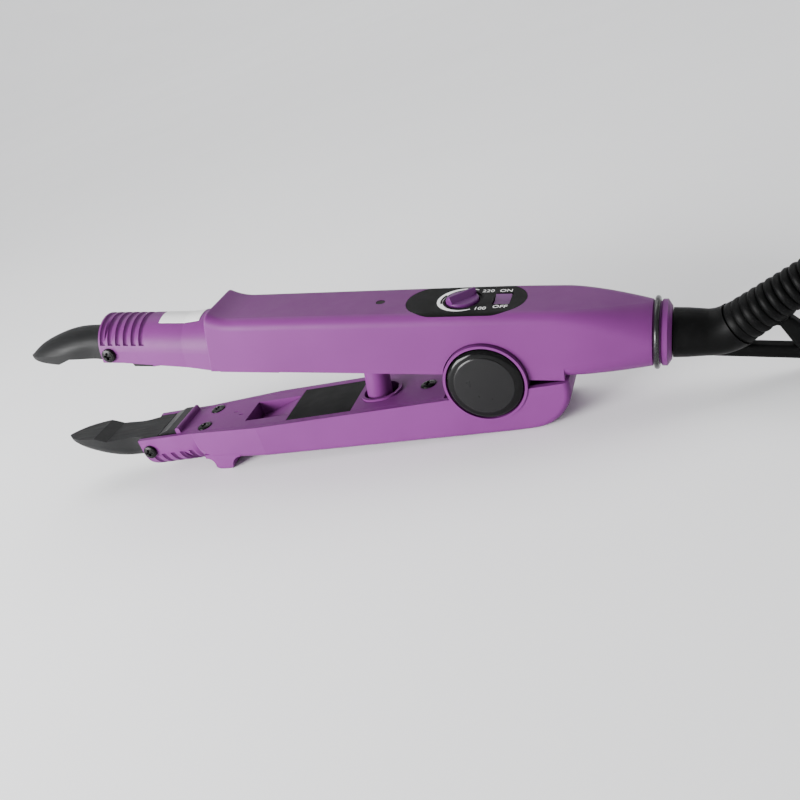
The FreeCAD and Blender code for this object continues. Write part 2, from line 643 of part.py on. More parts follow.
def jawShape(root_end=0.0):
    """Heated jaw: an arched claw with a raised pad at its tip, and a tang in the nose.

    The upper jaw leaves room for the strap under its nose. Where root_end is given, the jaw's face
    runs on into the nose up to there."""
    tip = size("jaw_tip")
    front = size("nose_end")
    half = size("jaw_half")
    reach = tip - front
    # share of the way from tip to nose, height of the back and half width there
    stations = [(0.0, 0.4, 0.35), (0.06, 2.0, 2.5), (0.16, 4.7, 4.7), (0.32, 7.7, 6.3), (0.5, 10.2, half),
                (0.72, 11.9, half - 0.7), (0.9, size("jaw_height") - 0.1, half - 0.9),
                (1.1, size("jaw_height") + 0.1, half - 0.5)]
    wires = []
    for share, height, width in stations:
        x = -tip + share * reach
        low = padLine(x)
        arch = min(width, height * 0.62)
        wires.append(archWire(x, width, low, low + height, low + height - arch))
    claw = Part.makeLoft(wires, True, False)
    tang_low = size("nose_floor") + size("nose_wall") + size("seat_gap")
    tang_half = size("nose_radius") - size("nose_wall") - size("seat_gap")
    tang = Part.makeLoft([
        noseWire(-front + 0.8, tang_half, tang_low, size("nose_height") + tang_half - 1.2),
        noseWire(-size("jaw_root"), tang_half, tang_low, size("nose_height") + tang_half - 1.2)], True, True)
    pad_x = -size("pad_end")
    face = padLine(pad_x) + size("pad_depth")
    under = Part.Face(Part.Wire([edge.toShape() for edge in outlineEdges(
        [(pad_x, padLine(pad_x) - 3), (pad_x, padLine(pad_x)), (pad_x + size("pad_ramp"), face),
         (-size("jaw_root") + 2, face), (-size("jaw_root") + 2, padLine(pad_x) - 3)],
        lambda x, z: vec(x, -20, z))]))
    under = under.extrude(vec(0, 40, 0))
    slot_z = face + size("heater_lift")
    slot_length = size("jaw_tip") - size("jaw_root") - size("heater_front")
    slot = Part.makeBox(slot_length, 2 * size("heater_half"), size("heater_height"),
                        vec(-tip + size("heater_front"), -size("heater_half"), slot_z))
    screw_way = Part.makeCylinder(size("screw_radius") + 0.02, 40,
                                  vec(-size("jaw_screw_at"), -20, size("jaw_screw_height")), vec(0, 1, 0))
    slot_side = half - 0.75
    side_slots = [Part.makeBox(9, 1.0, 0.8, vec(-size("nose_end") - 8.2, side * slot_side - 0.5, face + 6.4))
                  for side in (-1, 1)]
    strap = Part.makeBox(20, 40, 20, vec(-front - size("seat_gap"), -20, tang_low - 20))
    if root_end:
        root = Part.makeBox(front - size("seat_gap") - root_end, 2 * tang_half, tang_low + 0.5 - face,
                            vec(-front + size("seat_gap"), -tang_half, face))
        behind = Part.makeBox(20, 40, 20, vec(-root_end, -20, tang_low - 20))
        claw = claw.fuse(root).cut(behind)
    else:
        claw = claw.cut(strap)
    shape = claw.fuse(tang).cut(under)
    for tool in [slot, screw_way] + side_slots:
        shape = shape.cut(tool)
    return shape.removeSplitter(), slot_z


def guardShape():
    """Insulating pad that lies under the nose behind the jaw."""
    nose = size("nose_floor")
    front = -size("guard_front")
    back = -size("guard_back")
    low = nose - size("guard_drop") - 0.3
    outline = [(front, nose - 0.1), (front + 1.8, low), (back - 0.1, low), (back - 0.1, nose - 0.45)]
    half = size("jaw_half") - 0.2
    pad_face = Part.Face(Part.Wire([edge.toShape() for edge in outlineEdges(
        outline, lambda x, z: vec(x, -half, z))]))
    stem = Part.makeBox(size("guard_front") - size("guard_back") - 2.2, 2 * (half - 1.4), 2.4,
                        vec(front + 1.2, -half + 1.4, nose - 0.8))
    return pad_face.extrude(vec(0, 2 * half, 0)).fuse(stem).removeSplitter()


def upperEnd():
    """Jaw, heater, sensor, guard and jaw screws of the upper arm."""
    jaw, slot_z = jawShape()
    keep("upper_jaw", solid("upper_jaw", jaw), upper_frame)
    heaterParts("upper", slot_z, 1, upper_frame)
    keep("upper_guard", solid("upper_guard", guardShape()), upper_frame)
    screws = [screwSolid("upper_jaw_screw", (-size("jaw_screw_at"), side * (size("nose_radius") + 0.05),
                                             size("jaw_screw_height")), (0, side, 0)) for side in (-1, 1)]
    keep("upper_jaw_screws", group("upper_jaw_screws", screws), upper_frame)


def heaterParts(arm, slot_z, way, frame):
    """Flat heating element in the jaw's slot, with its temperature sensor behind it."""
    gap = size("fit_gap")
    half = size("heater_half") - gap
    low = slot_z + gap
    high = slot_z + size("heater_height") - gap
    front = -size("jaw_tip") + size("heater_front") + gap
    back = -size("jaw_screw_at") - size("screw_radius") - 1
    levels = sorted((way * low, way * high))
    heater = block(arm + "_heater_bar", (front, -half, levels[0]), (back, half, levels[1]))
    keep(arm + "_heater", heater, frame)
    levels = sorted((way * (low + 0.3), way * high))
    bead = block(arm + "_sensor_bead", (back + gap, -1.0, levels[0]),
                 (-size("jaw_root") - 2, 1.0, levels[1]))
    keep(arm + "_sensor", bead, frame)


def controls(outer):
    """Panel, dial, rocker, indicator, circuit board and what is soldered to it."""
    gap = size("fit_gap")
    lowered = doc.addObject("Part::Feature", "panel_under")
    lowered.Shape = outer.Shape
    lowered.Placement.Base = vec(0, 0, -size("panel_plate"))
    plate = newBody("panel_plate_outline")
    pad(plate, newSketch(plate, "XY_Plane", [stadium(-size("panel_front"), size("panel_back"), 0,
                                                     size("panel_radius"))]), "30", False)
    lifted = doc.addObject("Part::Feature", "panel_over")
    lifted.Shape = outer.Shape
    skin = cut("panel_skin", common("panel_blank", [plate, lifted]), [lowered])
    dial_x = -size("dial_at")
    dial_top = topAt(dial_x)
    dial_hole = cylinder("panel_dial_hole", "sizes.dial_radius + 0.3", 30, (dial_x, 0, 5))
    dish = cylinder("panel_dish", "sizes.dial_radius + 1.1", 5, (dial_x, 0, dial_top - 0.35))
    rocker_x = size("rocker_at")
    half_x = size("rocker_width") / 2 + 0.2
    half_y = size("rocker_reach") + 0.05
    rocker_hole = block("panel_rocker_hole", (rocker_x - half_x, -half_y, 5),
                        (rocker_x + half_x, half_y, 35))
    keep("control_panel", cut("control_panel", skin, [dial_hole, dish, rocker_hole]), upper_frame)

    knob = newBody("dial_knob_disc")
    radius = size("dial_radius")
    base = dial_top - 1.5
    top = dial_top + size("dial_rise")
    profile = [(base, 0), (base, radius), (top - 0.5, radius), (top - 0.1, radius - 0.15, top, radius - 0.6),
               (top, 0)]
    revolve(knob, newSketch(knob, "XZ_Plane", [profile]))
    knob.Placement = FreeCAD.Placement(vec(dial_x, 0, 0), turnAbout((0, 1, 0), -90))
    fin = newBody("dial_fin")
    half_base = 1.9
    fin_outline = [(-half_base, top - 0.6), (half_base, top - 0.6), (0.35, top + size("fin_rise")),
                   (-0.35, top + size("fin_rise"))]
    pad(fin, newSketch(fin, "YZ_Plane", [fin_outline]), "2 * sizes.dial_radius - 0.6")
    plan = newSketch(fin, "XY_Plane", [
        [(-radius, 0.9), (radius - 0.3, 3), (radius - 0.3, 6), (-radius, 6)],
        [(-radius, -6), (radius - 0.3, -6), (radius - 0.3, -3), (-radius, -0.9)]])
    pocket(fin, plan, "80")
    fin.Placement = FreeCAD.Placement(vec(dial_x, 0, 0), turnAbout((0, 0, 1), size("dial_angle") + 180))
    shaft_top = dial_top - 0.3
    socket = cylinder("dial_socket", "sizes.shaft_radius + 0.03", 10, (dial_x, 0, shaft_top + gap - 10))
    keep("dial_knob", cut("dial_knob", fuse("dial_knob_whole", [knob, fin]), [socket]), upper_frame)
    board_top = size("board_height") + size("board_plate")
    shaft_foot = board_top + 0.6
    shaft = cylinder("dial_shaft", "sizes.shaft_radius", shaft_top - shaft_foot, (dial_x, 0, shaft_foot))
    keep("dial_shaft", shaft, upper_frame)
    pot = cylinder("pot_case", "sizes.pot_radius", base - size("seat_gap") - board_top - 0.05,
                   (dial_x, 0, board_top + 0.05))
    pot_hole = cylinder("pot_hole", "sizes.shaft_radius + 0.05", 10, (dial_x, 0, board_top + 0.4))
    keep("dial_potentiometer", cut("dial_potentiometer", pot, [pot_hole]), upper_frame)
    rocker(board_top)

    lens = cylinder("led_lens", "sizes.led_radius", 2.0, (-size("led_at"), 0, topAt(-size("led_at")) - 2.1))
    keep("led_lens", lens, upper_frame)
    lens_low = topAt(-size("led_at")) - 2.1
    led_foot = board_top + 0.05
    led = cylinder("led_lamp", 1.3, lens_low - 0.1 - led_foot, (-size("led_at"), 0, led_foot))
    keep("indicator_lamp", led, upper_frame)
    board = block("board_plate", (-size("board_front"), -size("board_half"), size("board_height")),
                  (size("board_back"), size("board_half"), board_top))
    keep("circuit_board", board, upper_frame)
    under = size("board_height") - 0.05
    parts = [
        block("film_capacitor", (-74, -6, under - 8), (-64, 6, under)),
        cylinder("electrolytic_capacitor", 3.0, 7.5, (-54, 4.4, under - 7.5)),
        block("power_triac", (-57, -6, under - 6), (-48, -2, under)),
        block("control_chip", (-30, -4, under - 1.6), (-26, 4, under)),
    ]
    keep("board_components", group("board_components", parts), upper_frame)


def rocker(board_top):
    """Switch rocker in its rest position, with the front end pressed, and its case."""
    x = size("rocker_at")
    reach = size("rocker_reach")
    pivot_z = topAt(x) - size("rocker_drop")
    corner = math.radians(35)
    y1 = reach * math.cos(corner)
    z1 = reach * math.sin(corner)
    body = newBody("rocker_bar")
    outline = [(-y1, z1), (0, z1 - 0.55), (y1, z1), (reach, 0.0, reach * 0.95, -0.9), (1.3, -1.4),
               (-1.3, -1.4), (-reach * 0.95, -0.9), (-reach, 0.0, -y1, z1)]
    pad(body, newSketch(body, "YZ_Plane", [outline]), "sizes.rocker_width")
    trunnion = cylinder("rocker_trunnion", "sizes.trunnion_radius", "sizes.rocker_width + 1.3",
                        (-size("rocker_width") / 2 - 0.65, 0, 0), (1, 0, 0))
    whole = fuse("power_rocker", [body, trunnion])
    whole.Placement = FreeCAD.Placement(vec(x, 0, pivot_z), turnAbout((1, 0, 0), size("rocker_tilt")))
    keep("power_rocker", whole, upper_frame)
    half_x = size("rocker_width") / 2 + 0.9
    half_y = reach + 1.1
    case_top = topAt(x) - size("panel_plate") - 0.2
    case = block("switch_case", (x - half_x, -half_y, board_top + 0.05), (x + half_x, half_y, case_top))
    room = block("switch_room", (x - half_x + 0.75, -half_y + 0.9, board_top + 1.0),
                 (x + half_x - 0.75, half_y - 0.9, case_top + 1))
    hole = cylinder("switch_pivot_hole", "sizes.trunnion_radius + 0.05", 20, (x - 10, 0, pivot_z), (1, 0, 0))
    keep("switch_body", cut("switch_body", case, [room, hole]), upper_frame)


def lowerOutline():
    """Side view of the lower housing, without its nub."""
    top = -size("lower_top")
    heel = size("heel_end")
    flat_back = (size("heel_at") + 2, floorAt(size("heel_at") + 2))
    flat_front = (size("heel_at"), floorAt(size("heel_at")))
    way = (-math.cos(lean), -math.sin(lean))
    corner = (heel - 1.2, top - 7.0)
    belly = (0, flat_front[1] + 0.09)
    return [
        (-size("lower_nose"), top), (heel, top), (heel - 0.1, top - 3.6) + corner,
        tangentMiddle(corner, flat_back, way) + flat_back, flat_front,
        tangentMiddle(belly, flat_front, way) + belly, (-size("lower_nose"), -size("belly_depth") + 0.2),
    ]


def lowerInside():
    """Side view of the space inside the lower housing."""
    wall = size("wall")
    heel = size("heel_end") - wall
    return [(-size("lower_nose") - 2, 0), (heel, 0), (heel, -9.5), (heel - 5.5, -14.8),
            (size("heel_at") + 2, floorAt(0) + wall), (0, floorAt(0) + wall + 0.1),
            (-size("lower_nose") - 2, -size("belly_depth") + wall + 0.2)]


def nubOutline():
    """Side view of the nub on which the front of the lower arm stands."""
    nub = -size("nub_at")
    deep = floorAt(nub)
    belly = -size("belly_depth") + 0.4
    return [(nub - 6.4, belly), (nub - 4.1, belly - 0.9, nub - 3.4, deep + 1.6),
            (nub - 2.7, deep + 0.4, nub - 1.6, floorAt(nub - 1.6)), (nub + 1.6, floorAt(nub + 1.6)),
            (nub + 2.8, deep + 0.4, nub + 4.2, deep + 2.2), (nub + 6.0, belly - 0.9, nub + 9.0, belly),
            (nub + 9.0, belly + 1.5), (nub - 6.4, belly + 1.5)]


def lowerHalf(x):
    """Half width of the lower housing, which narrows towards its nose."""
    share = (-x - size("lower_taper")) / (size("lower_nose") - size("lower_taper"))
    return lower_half + (size("nose_radius") - lower_half) * min(1.0, max(0.0, share))


def lowerFlare(name, inset):
    """Space that grows from the round section of the lower nose to all of the housing behind it."""
    start = -size("lower_nose")
    blend = size("nose_blend")
    growth = 3.0
    wires = []
    for x, grown in ((start - 3, 0.0), (start, 0.0), (start + blend, growth)):
        half = size("nose_radius") - inset + grown
        wires.append(noseWire(x, half, -2, size("nose_height") + half))
    flare = solid(name, flipped(Part.makeLoft(wires, True, True)))
    behind = block(name + "_behind", (start + blend - 0.05, -20, -30), (60, 20, 2))
    return fuse(name + "_space", [flare, behind])


def isBottomEdge(edge):
    """Long edges round the underside of the lower housing."""
    middle = edge.valueAt((edge.FirstParameter + edge.LastParameter) / 2)
    along = len(edge.Vertexes) == 2 and abs(edge.Vertexes[0].X - edge.Vertexes[1].X) > 0.05
    return along and abs(middle.y) > 9.0 and middle.z < -size("lower_top") - 0.5


def lowerShell():
    body = newBody("lower_block")
    pad(body, newSketch(body, "XZ_Plane", [lowerOutline()]), "sizes.lower_width")
    nose_half = size("nose_radius")
    trimCorners(body, size("lower_nose"), size("lower_taper"), nose_half, lower_half)
    roundEdges(body, "lower_round", isBottomEdge)
    body = common("lower_block_flared", [body, lowerFlare("lower_outer_flare", 0.0)])
    front = size("nose_end")
    nose_top = -size("lower_top")
    round_nose = flipped(Part.makeLoft([
        noseWire(-front, nose_half, -2, size("nose_height") + nose_half),
        noseWire(-size("lower_nose") - 2, nose_half, -2, size("nose_height") + nose_half),
        ], True, True).fuse(Part.makeLoft([
            noseWire(-size("lower_nose") - 2, nose_half, -2, size("nose_height") + nose_half),
            noseWire(-size("lower_nose") + 2, nose_half, -2, size("belly_depth") - 0.1)], True, True)))
    nose = cut("lower_nose", solid("lower_nose_round", round_nose.removeSplitter()),
               [block("lower_nose_above", (-140, -20, nose_top), (-100, 20, 10))])
    corner = newBody("lower_nose_corner")
    pad(corner, newSketch(corner, "XZ_Plane", [[(-front - 1, -12.5), (-front - 1, -19), (-front + 5, -19),
                                                (-front + 1.2, -16.6, -front, -12.5)]]), "40")
    nub_side = newBody("lower_nub_side")
    pad(nub_side, newSketch(nub_side, "XZ_Plane", [nubOutline()]), "sizes.lower_width")
    nub_ends = [sectionWire(x, lowerHalf(x) - 0.05, -size("nub_depth") - 0.6, 0, size("nub_round"), 1.0)
                for x in (-size("lower_nose"), -size("nub_at") + 10)]
    nub = common("lower_nub", [nub_side, solid("lower_nub_section", Part.makeLoft(nub_ends, True, True))])
    hull = fuse("lower_hull", [body, cut("lower_nose_cut", nose, [corner]), nub])

    wall = size("wall")
    cavity = newBody("lower_cavity")
    pad(cavity, newSketch(cavity, "XZ_Plane", [lowerInside()]), "sizes.lower_width - 2 * sizes.wall")
    inner_half = size("nose_radius") - size("nose_wall")
    trimCorners(cavity, size("lower_nose"), size("lower_taper"), inner_half, lower_half - wall)
    cavity = common("lower_cavity_flared", [cavity, lowerFlare("lower_inner_flare", size("nose_wall"))])
    hollow = flipped(Part.makeLoft([
        noseWire(-front - 1, inner_half, -2, size("nose_height") + inner_half),
        noseWire(-size("lower_nose") - 1, inner_half, -2, size("nose_height") + inner_half)], True, True))
    ribs = grooves("lower_grooves", size("lower_groove_at"), size("lower_groove_pitch"),
                   size("lower_groove_count"), 10.5)
    ribs_flipped = solid("lower_ribs", flipped(ribs.Shape))
    screw_way = cylinder("lower_jaw_screw_way", "sizes.screw_radius + 0.1", 40,
                         (-size("jaw_screw_at"), -20, lower_screw_z), (0, 1, 0))
    hollow = solid("lower_nose_hollow", hollow)
    shell = cut("lower_shell_open", hull, [cavity, hollow, ribs_flipped, screw_way])
    drum_length = drum_face - size("drum_inner")
    drums = [cylinder("hub_drum", "sizes.drum_radius", drum_length,
                      (0, -drum_face if side < 0 else size("drum_inner"), 0), (0, 1, 0))
             for side in (-1, 1)]
    boss_top = -size("lower_top") - size("cover_plate") - 0.1
    bosses = []
    for x, y in coverScrews(size("front_screw_at")):
        low = floorAt(0) + 1.0 if y == 0 else -size("belly_depth") + 1.0
        bosses.append(cylinder("lower_boss", 2.3, boss_top - low, (x, y, low)))
    full = fuse("lower_shell_full", [shell] + drums + bosses)
    pin_way = cylinder("lower_pin_way", "sizes.pin_radius + sizes.pin_clearance", 40, (0, -20, 0), (0, 1, 0))
    tools = [pin_way]
    recess = drum_face - size("cap_depth")
    for side in (-1, 1):
        low = recess if side > 0 else -drum_face - 1
        tools.append(cylinder("cap_recess", "sizes.drum_radius - sizes.cap_rim", size("cap_depth") + 1,
                              (0, low, 0), (0, 1, 0)))
        head_low = recess - 1.1 if side > 0 else -recess - 0.1
        tools.append(cylinder("pin_head_recess", "sizes.pin_radius + 1.7", 1.2, (0, head_low, 0), (0, 1, 0)))
    for x, y in coverScrews(size("front_screw_at")):
        tools.append(cylinder("lower_drill", "sizes.screw_radius + 0.02", 8, (x, y, boss_top - 7)))
    keep("lower_shell", cut("lower_shell", full, tools), lower_frame)


def hinge():
    """Pin, clip and the two caps that close the hub drums."""
    recess = drum_face - size("cap_depth")
    pin_low = -recess + 0.15
    pin = cylinder("pivot_pin_shaft", "sizes.pin_radius", 2 * recess - 0.4, (0, pin_low, 0), (0, 1, 0))
    head = cylinder("pivot_pin_head", "sizes.pin_radius + 1.5", 0.8, (0, pin_low, 0), (0, 1, 0))
    notch_at = recess - 1.05
    notch_ring = cylinder("pin_notch_ring", "sizes.pin_radius + 1", 0.8, (0, notch_at, 0), (0, 1, 0))
    notch_core = cylinder("pin_notch_core", "sizes.pin_radius - 0.5", 2, (0, notch_at - 0.5, 0), (0, 1, 0))
    groove = cut("pin_notch", notch_ring, [notch_core])
    keep("pivot_pin", cut("pivot_pin", fuse("pivot_pin_whole", [pin, head]), [groove]), lower_frame)
    clip = cylinder("pin_clip_ring", "sizes.pin_radius + 1.3", 0.7, (0, notch_at + 0.05, 0), (0, 1, 0))
    clip_hole = cylinder("pin_clip_hole", "sizes.pin_radius - 0.45", 2, (0, notch_at - 0.5, 0), (0, 1, 0))
    clip_gap = block("pin_clip_gap", (-1.4, notch_at - 0.5, 0), (1.4, notch_at + 1.5, 6))
    keep("pin_clip", cut("pin_clip", clip, [clip_hole, clip_gap]), lower_frame)
    radius = size("drum_radius") - size("cap_rim") - size("fit_gap")
    rise = size("cap_height")
    inner = radius - size("cap_bevel")
    for label, turn in (("front_hub_cap", -90), ("rear_hub_cap", 90)):
        cap = newBody(label)
        profile = [(0, 0), (0, radius), (size("cap_edge"), radius),
                   (rise - 0.5, radius - 0.75, rise - 0.05, inner), (rise, inner - 0.3),
                   (rise + 0.2, inner * 0.55, rise + 0.3, 0.4), (rise + 0.3, 0)]
        revolve(cap, newSketch(cap, "XZ_Plane", [profile]))
        side = 1 if turn > 0 else -1
        cap.Placement = FreeCAD.Placement(vec(0, side * (recess + 0.05), 0), turnAbout((0, 0, 1), turn))
        keep(label, cap, lower_frame)


def lowerCover():
    top = -size("lower_top")
    plate = size("cover_plate")
    gap = size("fit_gap")
    back = -arch_outer - size("seat_gap")
    ridge = -size("guard_back")
    body = newBody("lower_cover_plate")
    outline = [
        (ridge - 1.8, top - plate), (ridge - 1.8, top + size("ridge_rise") - 0.5),
        (ridge - 0.9, top + size("ridge_rise") + 0.1, ridge, top + size("ridge_rise") - 0.5),
        (ridge, top), (back, top), (back, top - plate),
        (-size("pocket_back") + 2, top - plate), (-size("pocket_front"), top - size("pocket_depth") - 1.5),
        (-size("pocket_front") - 1.6, top - size("pocket_depth") - 1.5),
        (-size("pocket_front") - 1.6, top - plate),
    ]
    pad(body, newSketch(body, "XZ_Plane", [outline]),
        "sizes.lower_width - 2 * sizes.wall - 2 * sizes.fit_gap")
    nose_half = size("nose_radius") - size("nose_wall") - gap
    trimCorners(body, size("lower_nose"), size("lower_taper"), nose_half, lower_half - size("wall") - gap)
    trimCorners(body, size("nose_end"), size("lower_nose"), nose_half, nose_half)
    for side in (-1, 1):
        deep = [(-size("pocket_front") - 3, side * (size("pocket_half") + 1.3)),
                (-size("pocket_back") + 4, side * (size("pocket_half") + 1.3)),
                (-size("pocket_back") + 4, side * 14), (-size("pocket_front") - 3, side * 14)]
        if side < 0:
            deep = deep[::-1]
        pocket(body, newSketch(body, "XY_Plane", [deep], top - plate), "30", False)
    wedge = newSketch(body, "XZ_Plane", [[
        (-size("pocket_front"), top + 1), (-size("pocket_front"), top - size("pocket_depth")),
        (-size("pocket_back"), top - 0.4), (-size("pocket_back"), top + 1)]])
    pocket(body, wedge, "2 * sizes.pocket_half")
    label = newSketch(body, "XY_Plane", [box(-size("label_front"), -size("label_back"), -size("label_half"),
                                             size("label_half"))], top - size("label_depth"))
    pocket(body, label, "5", False, True)
    ends = (cupCentre() - size("cup_slide") / 2, cupCentre() + size("cup_slide") / 2)
    cup = newBody("spring_cup")
    pad(cup, newSketch(cup, "XY_Plane", [stadium(ends[0], ends[1], 0, size("cup_half") + size("cup_wall"))],
                       -size("cup_floor") - 1.2),
        "sizes.cup_floor + 1.2 - sizes.lower_top + sizes.cup_rise", False)
    well = newBody("spring_well")
    pad(well, newSketch(well, "XY_Plane", [stadium(ends[0], ends[1], 0, size("cup_half"))],
                        -size("cup_floor")), "20", False)
    drills = [cylinder("lower_cover_drill", "sizes.screw_radius + 0.1", 10, (x, y, top - 5))
              for x, y in coverScrews(size("front_screw_at"))]
    sinks = [cylinder("lower_cover_sink", "sizes.screw_head + 0.2", 5, (x, y, top - size("lower_sink")))
             for x, y in coverScrews(size("front_screw_at"))]
    marks = [block("mould_mark", (x - 0.8, y - 0.35, top - 0.3), (x + 0.8, y + 0.35, top + 1))
             for x, y in ((-98.5, 1.6), (-95.2, -0.9))]
    cover = cut("lower_cover", fuse("lower_cover_whole", [body, cup]), [well] + drills + sinks + marks)
    keep("lower_cover", cover, lower_frame)
    inset = 0.1
    plate_body = newBody("label_plate_outline")
    pad(plate_body, newSketch(plate_body, "XY_Plane", [
        box(-size("label_front") + inset, -size("label_back") - inset, -size("label_half") + inset,
            size("label_half") - inset)], top - size("label_depth")), "sizes.label_depth - 0.05", False)
    clear = cylinder("label_clear", size("cup_half") + size("cup_wall") + 0.2, 20, (ends[0], 0, top - 10))
    keep("label_plate", cut("label_plate", plate_body, [clear]), lower_frame)


def cupCentre():
    """Middle of the spring cup in the lower arm's frame, between the post's two extremes."""
    angle = math.radians(size("open_angle"))
    shut = math.radians(size("closed_angle"))
    x = -size("post_at")
    low_z = (-size("lower_top") + x * math.sin(angle)) / math.cos(angle)
    open_x = x * math.cos(angle) + low_z * math.sin(angle)
    shut_x = x * math.cos(shut) + size("post_end") * math.sin(shut)
    return (open_x + shut_x) / 2


def lowerEnd():
    """Jaw, heater, guard and screws of the lower arm."""
    jaw, slot_z = jawShape(size("lower_guard_front") + 0.2)
    top = -size("lower_top")
    shape = flipped(jaw)
    screw_way = Part.makeCylinder(size("screw_radius") + 0.02, 40,
                                  vec(-size("jaw_screw_at"), -20, lower_screw_z), vec(0, 1, 0))
    keep("lower_jaw", solid("lower_jaw", shape.cut(screw_way).removeSplitter()), lower_frame)
    heaterParts("lower", slot_z, -1, lower_frame)
    front = -size("lower_guard_front")
    back = -size("guard_back") - 1.8 - 0.1
    peak = top + size("ridge_rise") - 0.3
    outline = [(front, top - 0.8), (front + 0.3, top + 0.1), (back - 3.2, peak), (back, peak),
               (back, top - 0.8)]
    half = size("jaw_half") + 0.7
    plate_face = Part.Face(Part.Wire([edge.toShape() for edge in outlineEdges(
        outline, lambda x, z: vec(x, -half, z))]))
    keep("lower_guard", solid("lower_guard", plate_face.extrude(vec(0, 2 * half, 0))), lower_frame)
    screws = [screwSolid("lower_jaw_screw", (-size("jaw_screw_at"), side * (size("nose_radius") + 0.05),
                                             lower_screw_z), (0, side, 0)) for side in (-1, 1)]
    keep("lower_jaw_screws", group("lower_jaw_screws", screws), lower_frame)


def coverScrewGroups():
    lower_base = -size("lower_top") - size("lower_sink") + 0.05
    lower = [screwSolid("lower_cover_screw", (x, y, lower_base), (0, 0, 1))
             for x, y in coverScrews(size("front_screw_at"))]
    keep("lower_cover_screws", group("lower_cover_screws", lower), lower_frame)
    upper_base = size("upper_floor") + size("upper_sink") - 0.05
    upper = [screwSolid("upper_cover_screw", (x, y, upper_base), (0, 0, -1))
             for x, y in coverScrews(size("upper_screw_at"))]
    keep("upper_cover_screws", group("upper_cover_screws", upper), upper_frame)


def returnSpring():
    """Spring between the upper arm's post and the lower arm's cup, as the space that it fills."""
    angle = math.radians(size("open_angle"))
    floor_z = (-size("cup_floor") - size("post_at") * math.sin(angle)) / math.cos(angle)
    low = floor_z + size("spring_radius") * math.tan(angle) + 0.2
    high = size("post_top") - size("post_cap") - 0.1
    outer = cylinder("spring_outer", "sizes.spring_radius", high - low, (-size("post_at"), 0, low))
    inner = cylinder("spring_inner", "sizes.spring_radius - sizes.spring_wire", high - low + 2,
                     (-size("post_at"), 0, low - 1))
    keep("return_spring", cut("return_spring", outer, [inner]), upper_frame)


def neck():
    """Flanged collar in the neck and the ring in its groove."""
    collar = newBody("neck_collar")
    end = size("neck_end")
    bore = size("journal_radius") + size("journal_clearance")
    outer = size("neck_radius") - size("wall") - size("fit_gap")
    flange = size("neck_radius")
    groove = size("oring_radius") - size("oring_wire") - 0.1
    profile = [(end - 6, bore), (end - 6, outer), (end + 0.15, outer), (end + 0.15, groove),
               (size("oring_at") + size("oring_wire") + 0.45, groove),
               (size("oring_at") + size("oring_wire") + 0.45, flange - 0.3),
               (size("oring_at") + size("oring_wire") + 0.75, flange), (size("collar_end") - 1.2, flange),
               (size("collar_end"), flange - 1.9), (size("collar_end"), bore)]
    revolve(collar, newSketch(collar, "XZ_Plane", [profile]))
    collar.Placement.Base = vec(0, 0, size("neck_height"))
    keep("neck_collar", collar, upper_frame)
    ring = doc.addObject("Part::Torus", "neck_oring")
    ring.setExpression("Radius1", "sizes.oring_radius")
    ring.setExpression("Radius2", "sizes.oring_wire")
    ring.Placement = FreeCAD.Placement(vec(size("oring_at"), 0, size("neck_height")),
                                       turnAbout((0, 1, 0), 90))
    keep("neck_oring", ring, upper_frame)


# Frame of the strain relief: origin on the neck axis under the upper arm's hinge, +X along that axis,
# turned about it so that the elbow bends in the XZ plane.
neck_frame = upper_frame.multiply(FreeCAD.Placement(vec(0, 0, size("neck_height")),
                                                    turnAbout((1, 0, 0), size("elbow_roll"))))


def elbowPoint(along, off=0.0):
    """Point on the sleeve's axis, along from the end of the bend and off to its upper side."""
    angle = math.radians(size("elbow_angle"))
    bend = size("elbow_bend")
    x = size("elbow_start") + bend * math.sin(angle)
    z = bend * (1 - math.cos(angle))
    return vec(x + along * math.cos(angle) - off * math.sin(angle), 0,
               z + along * math.sin(angle) + off * math.cos(angle))


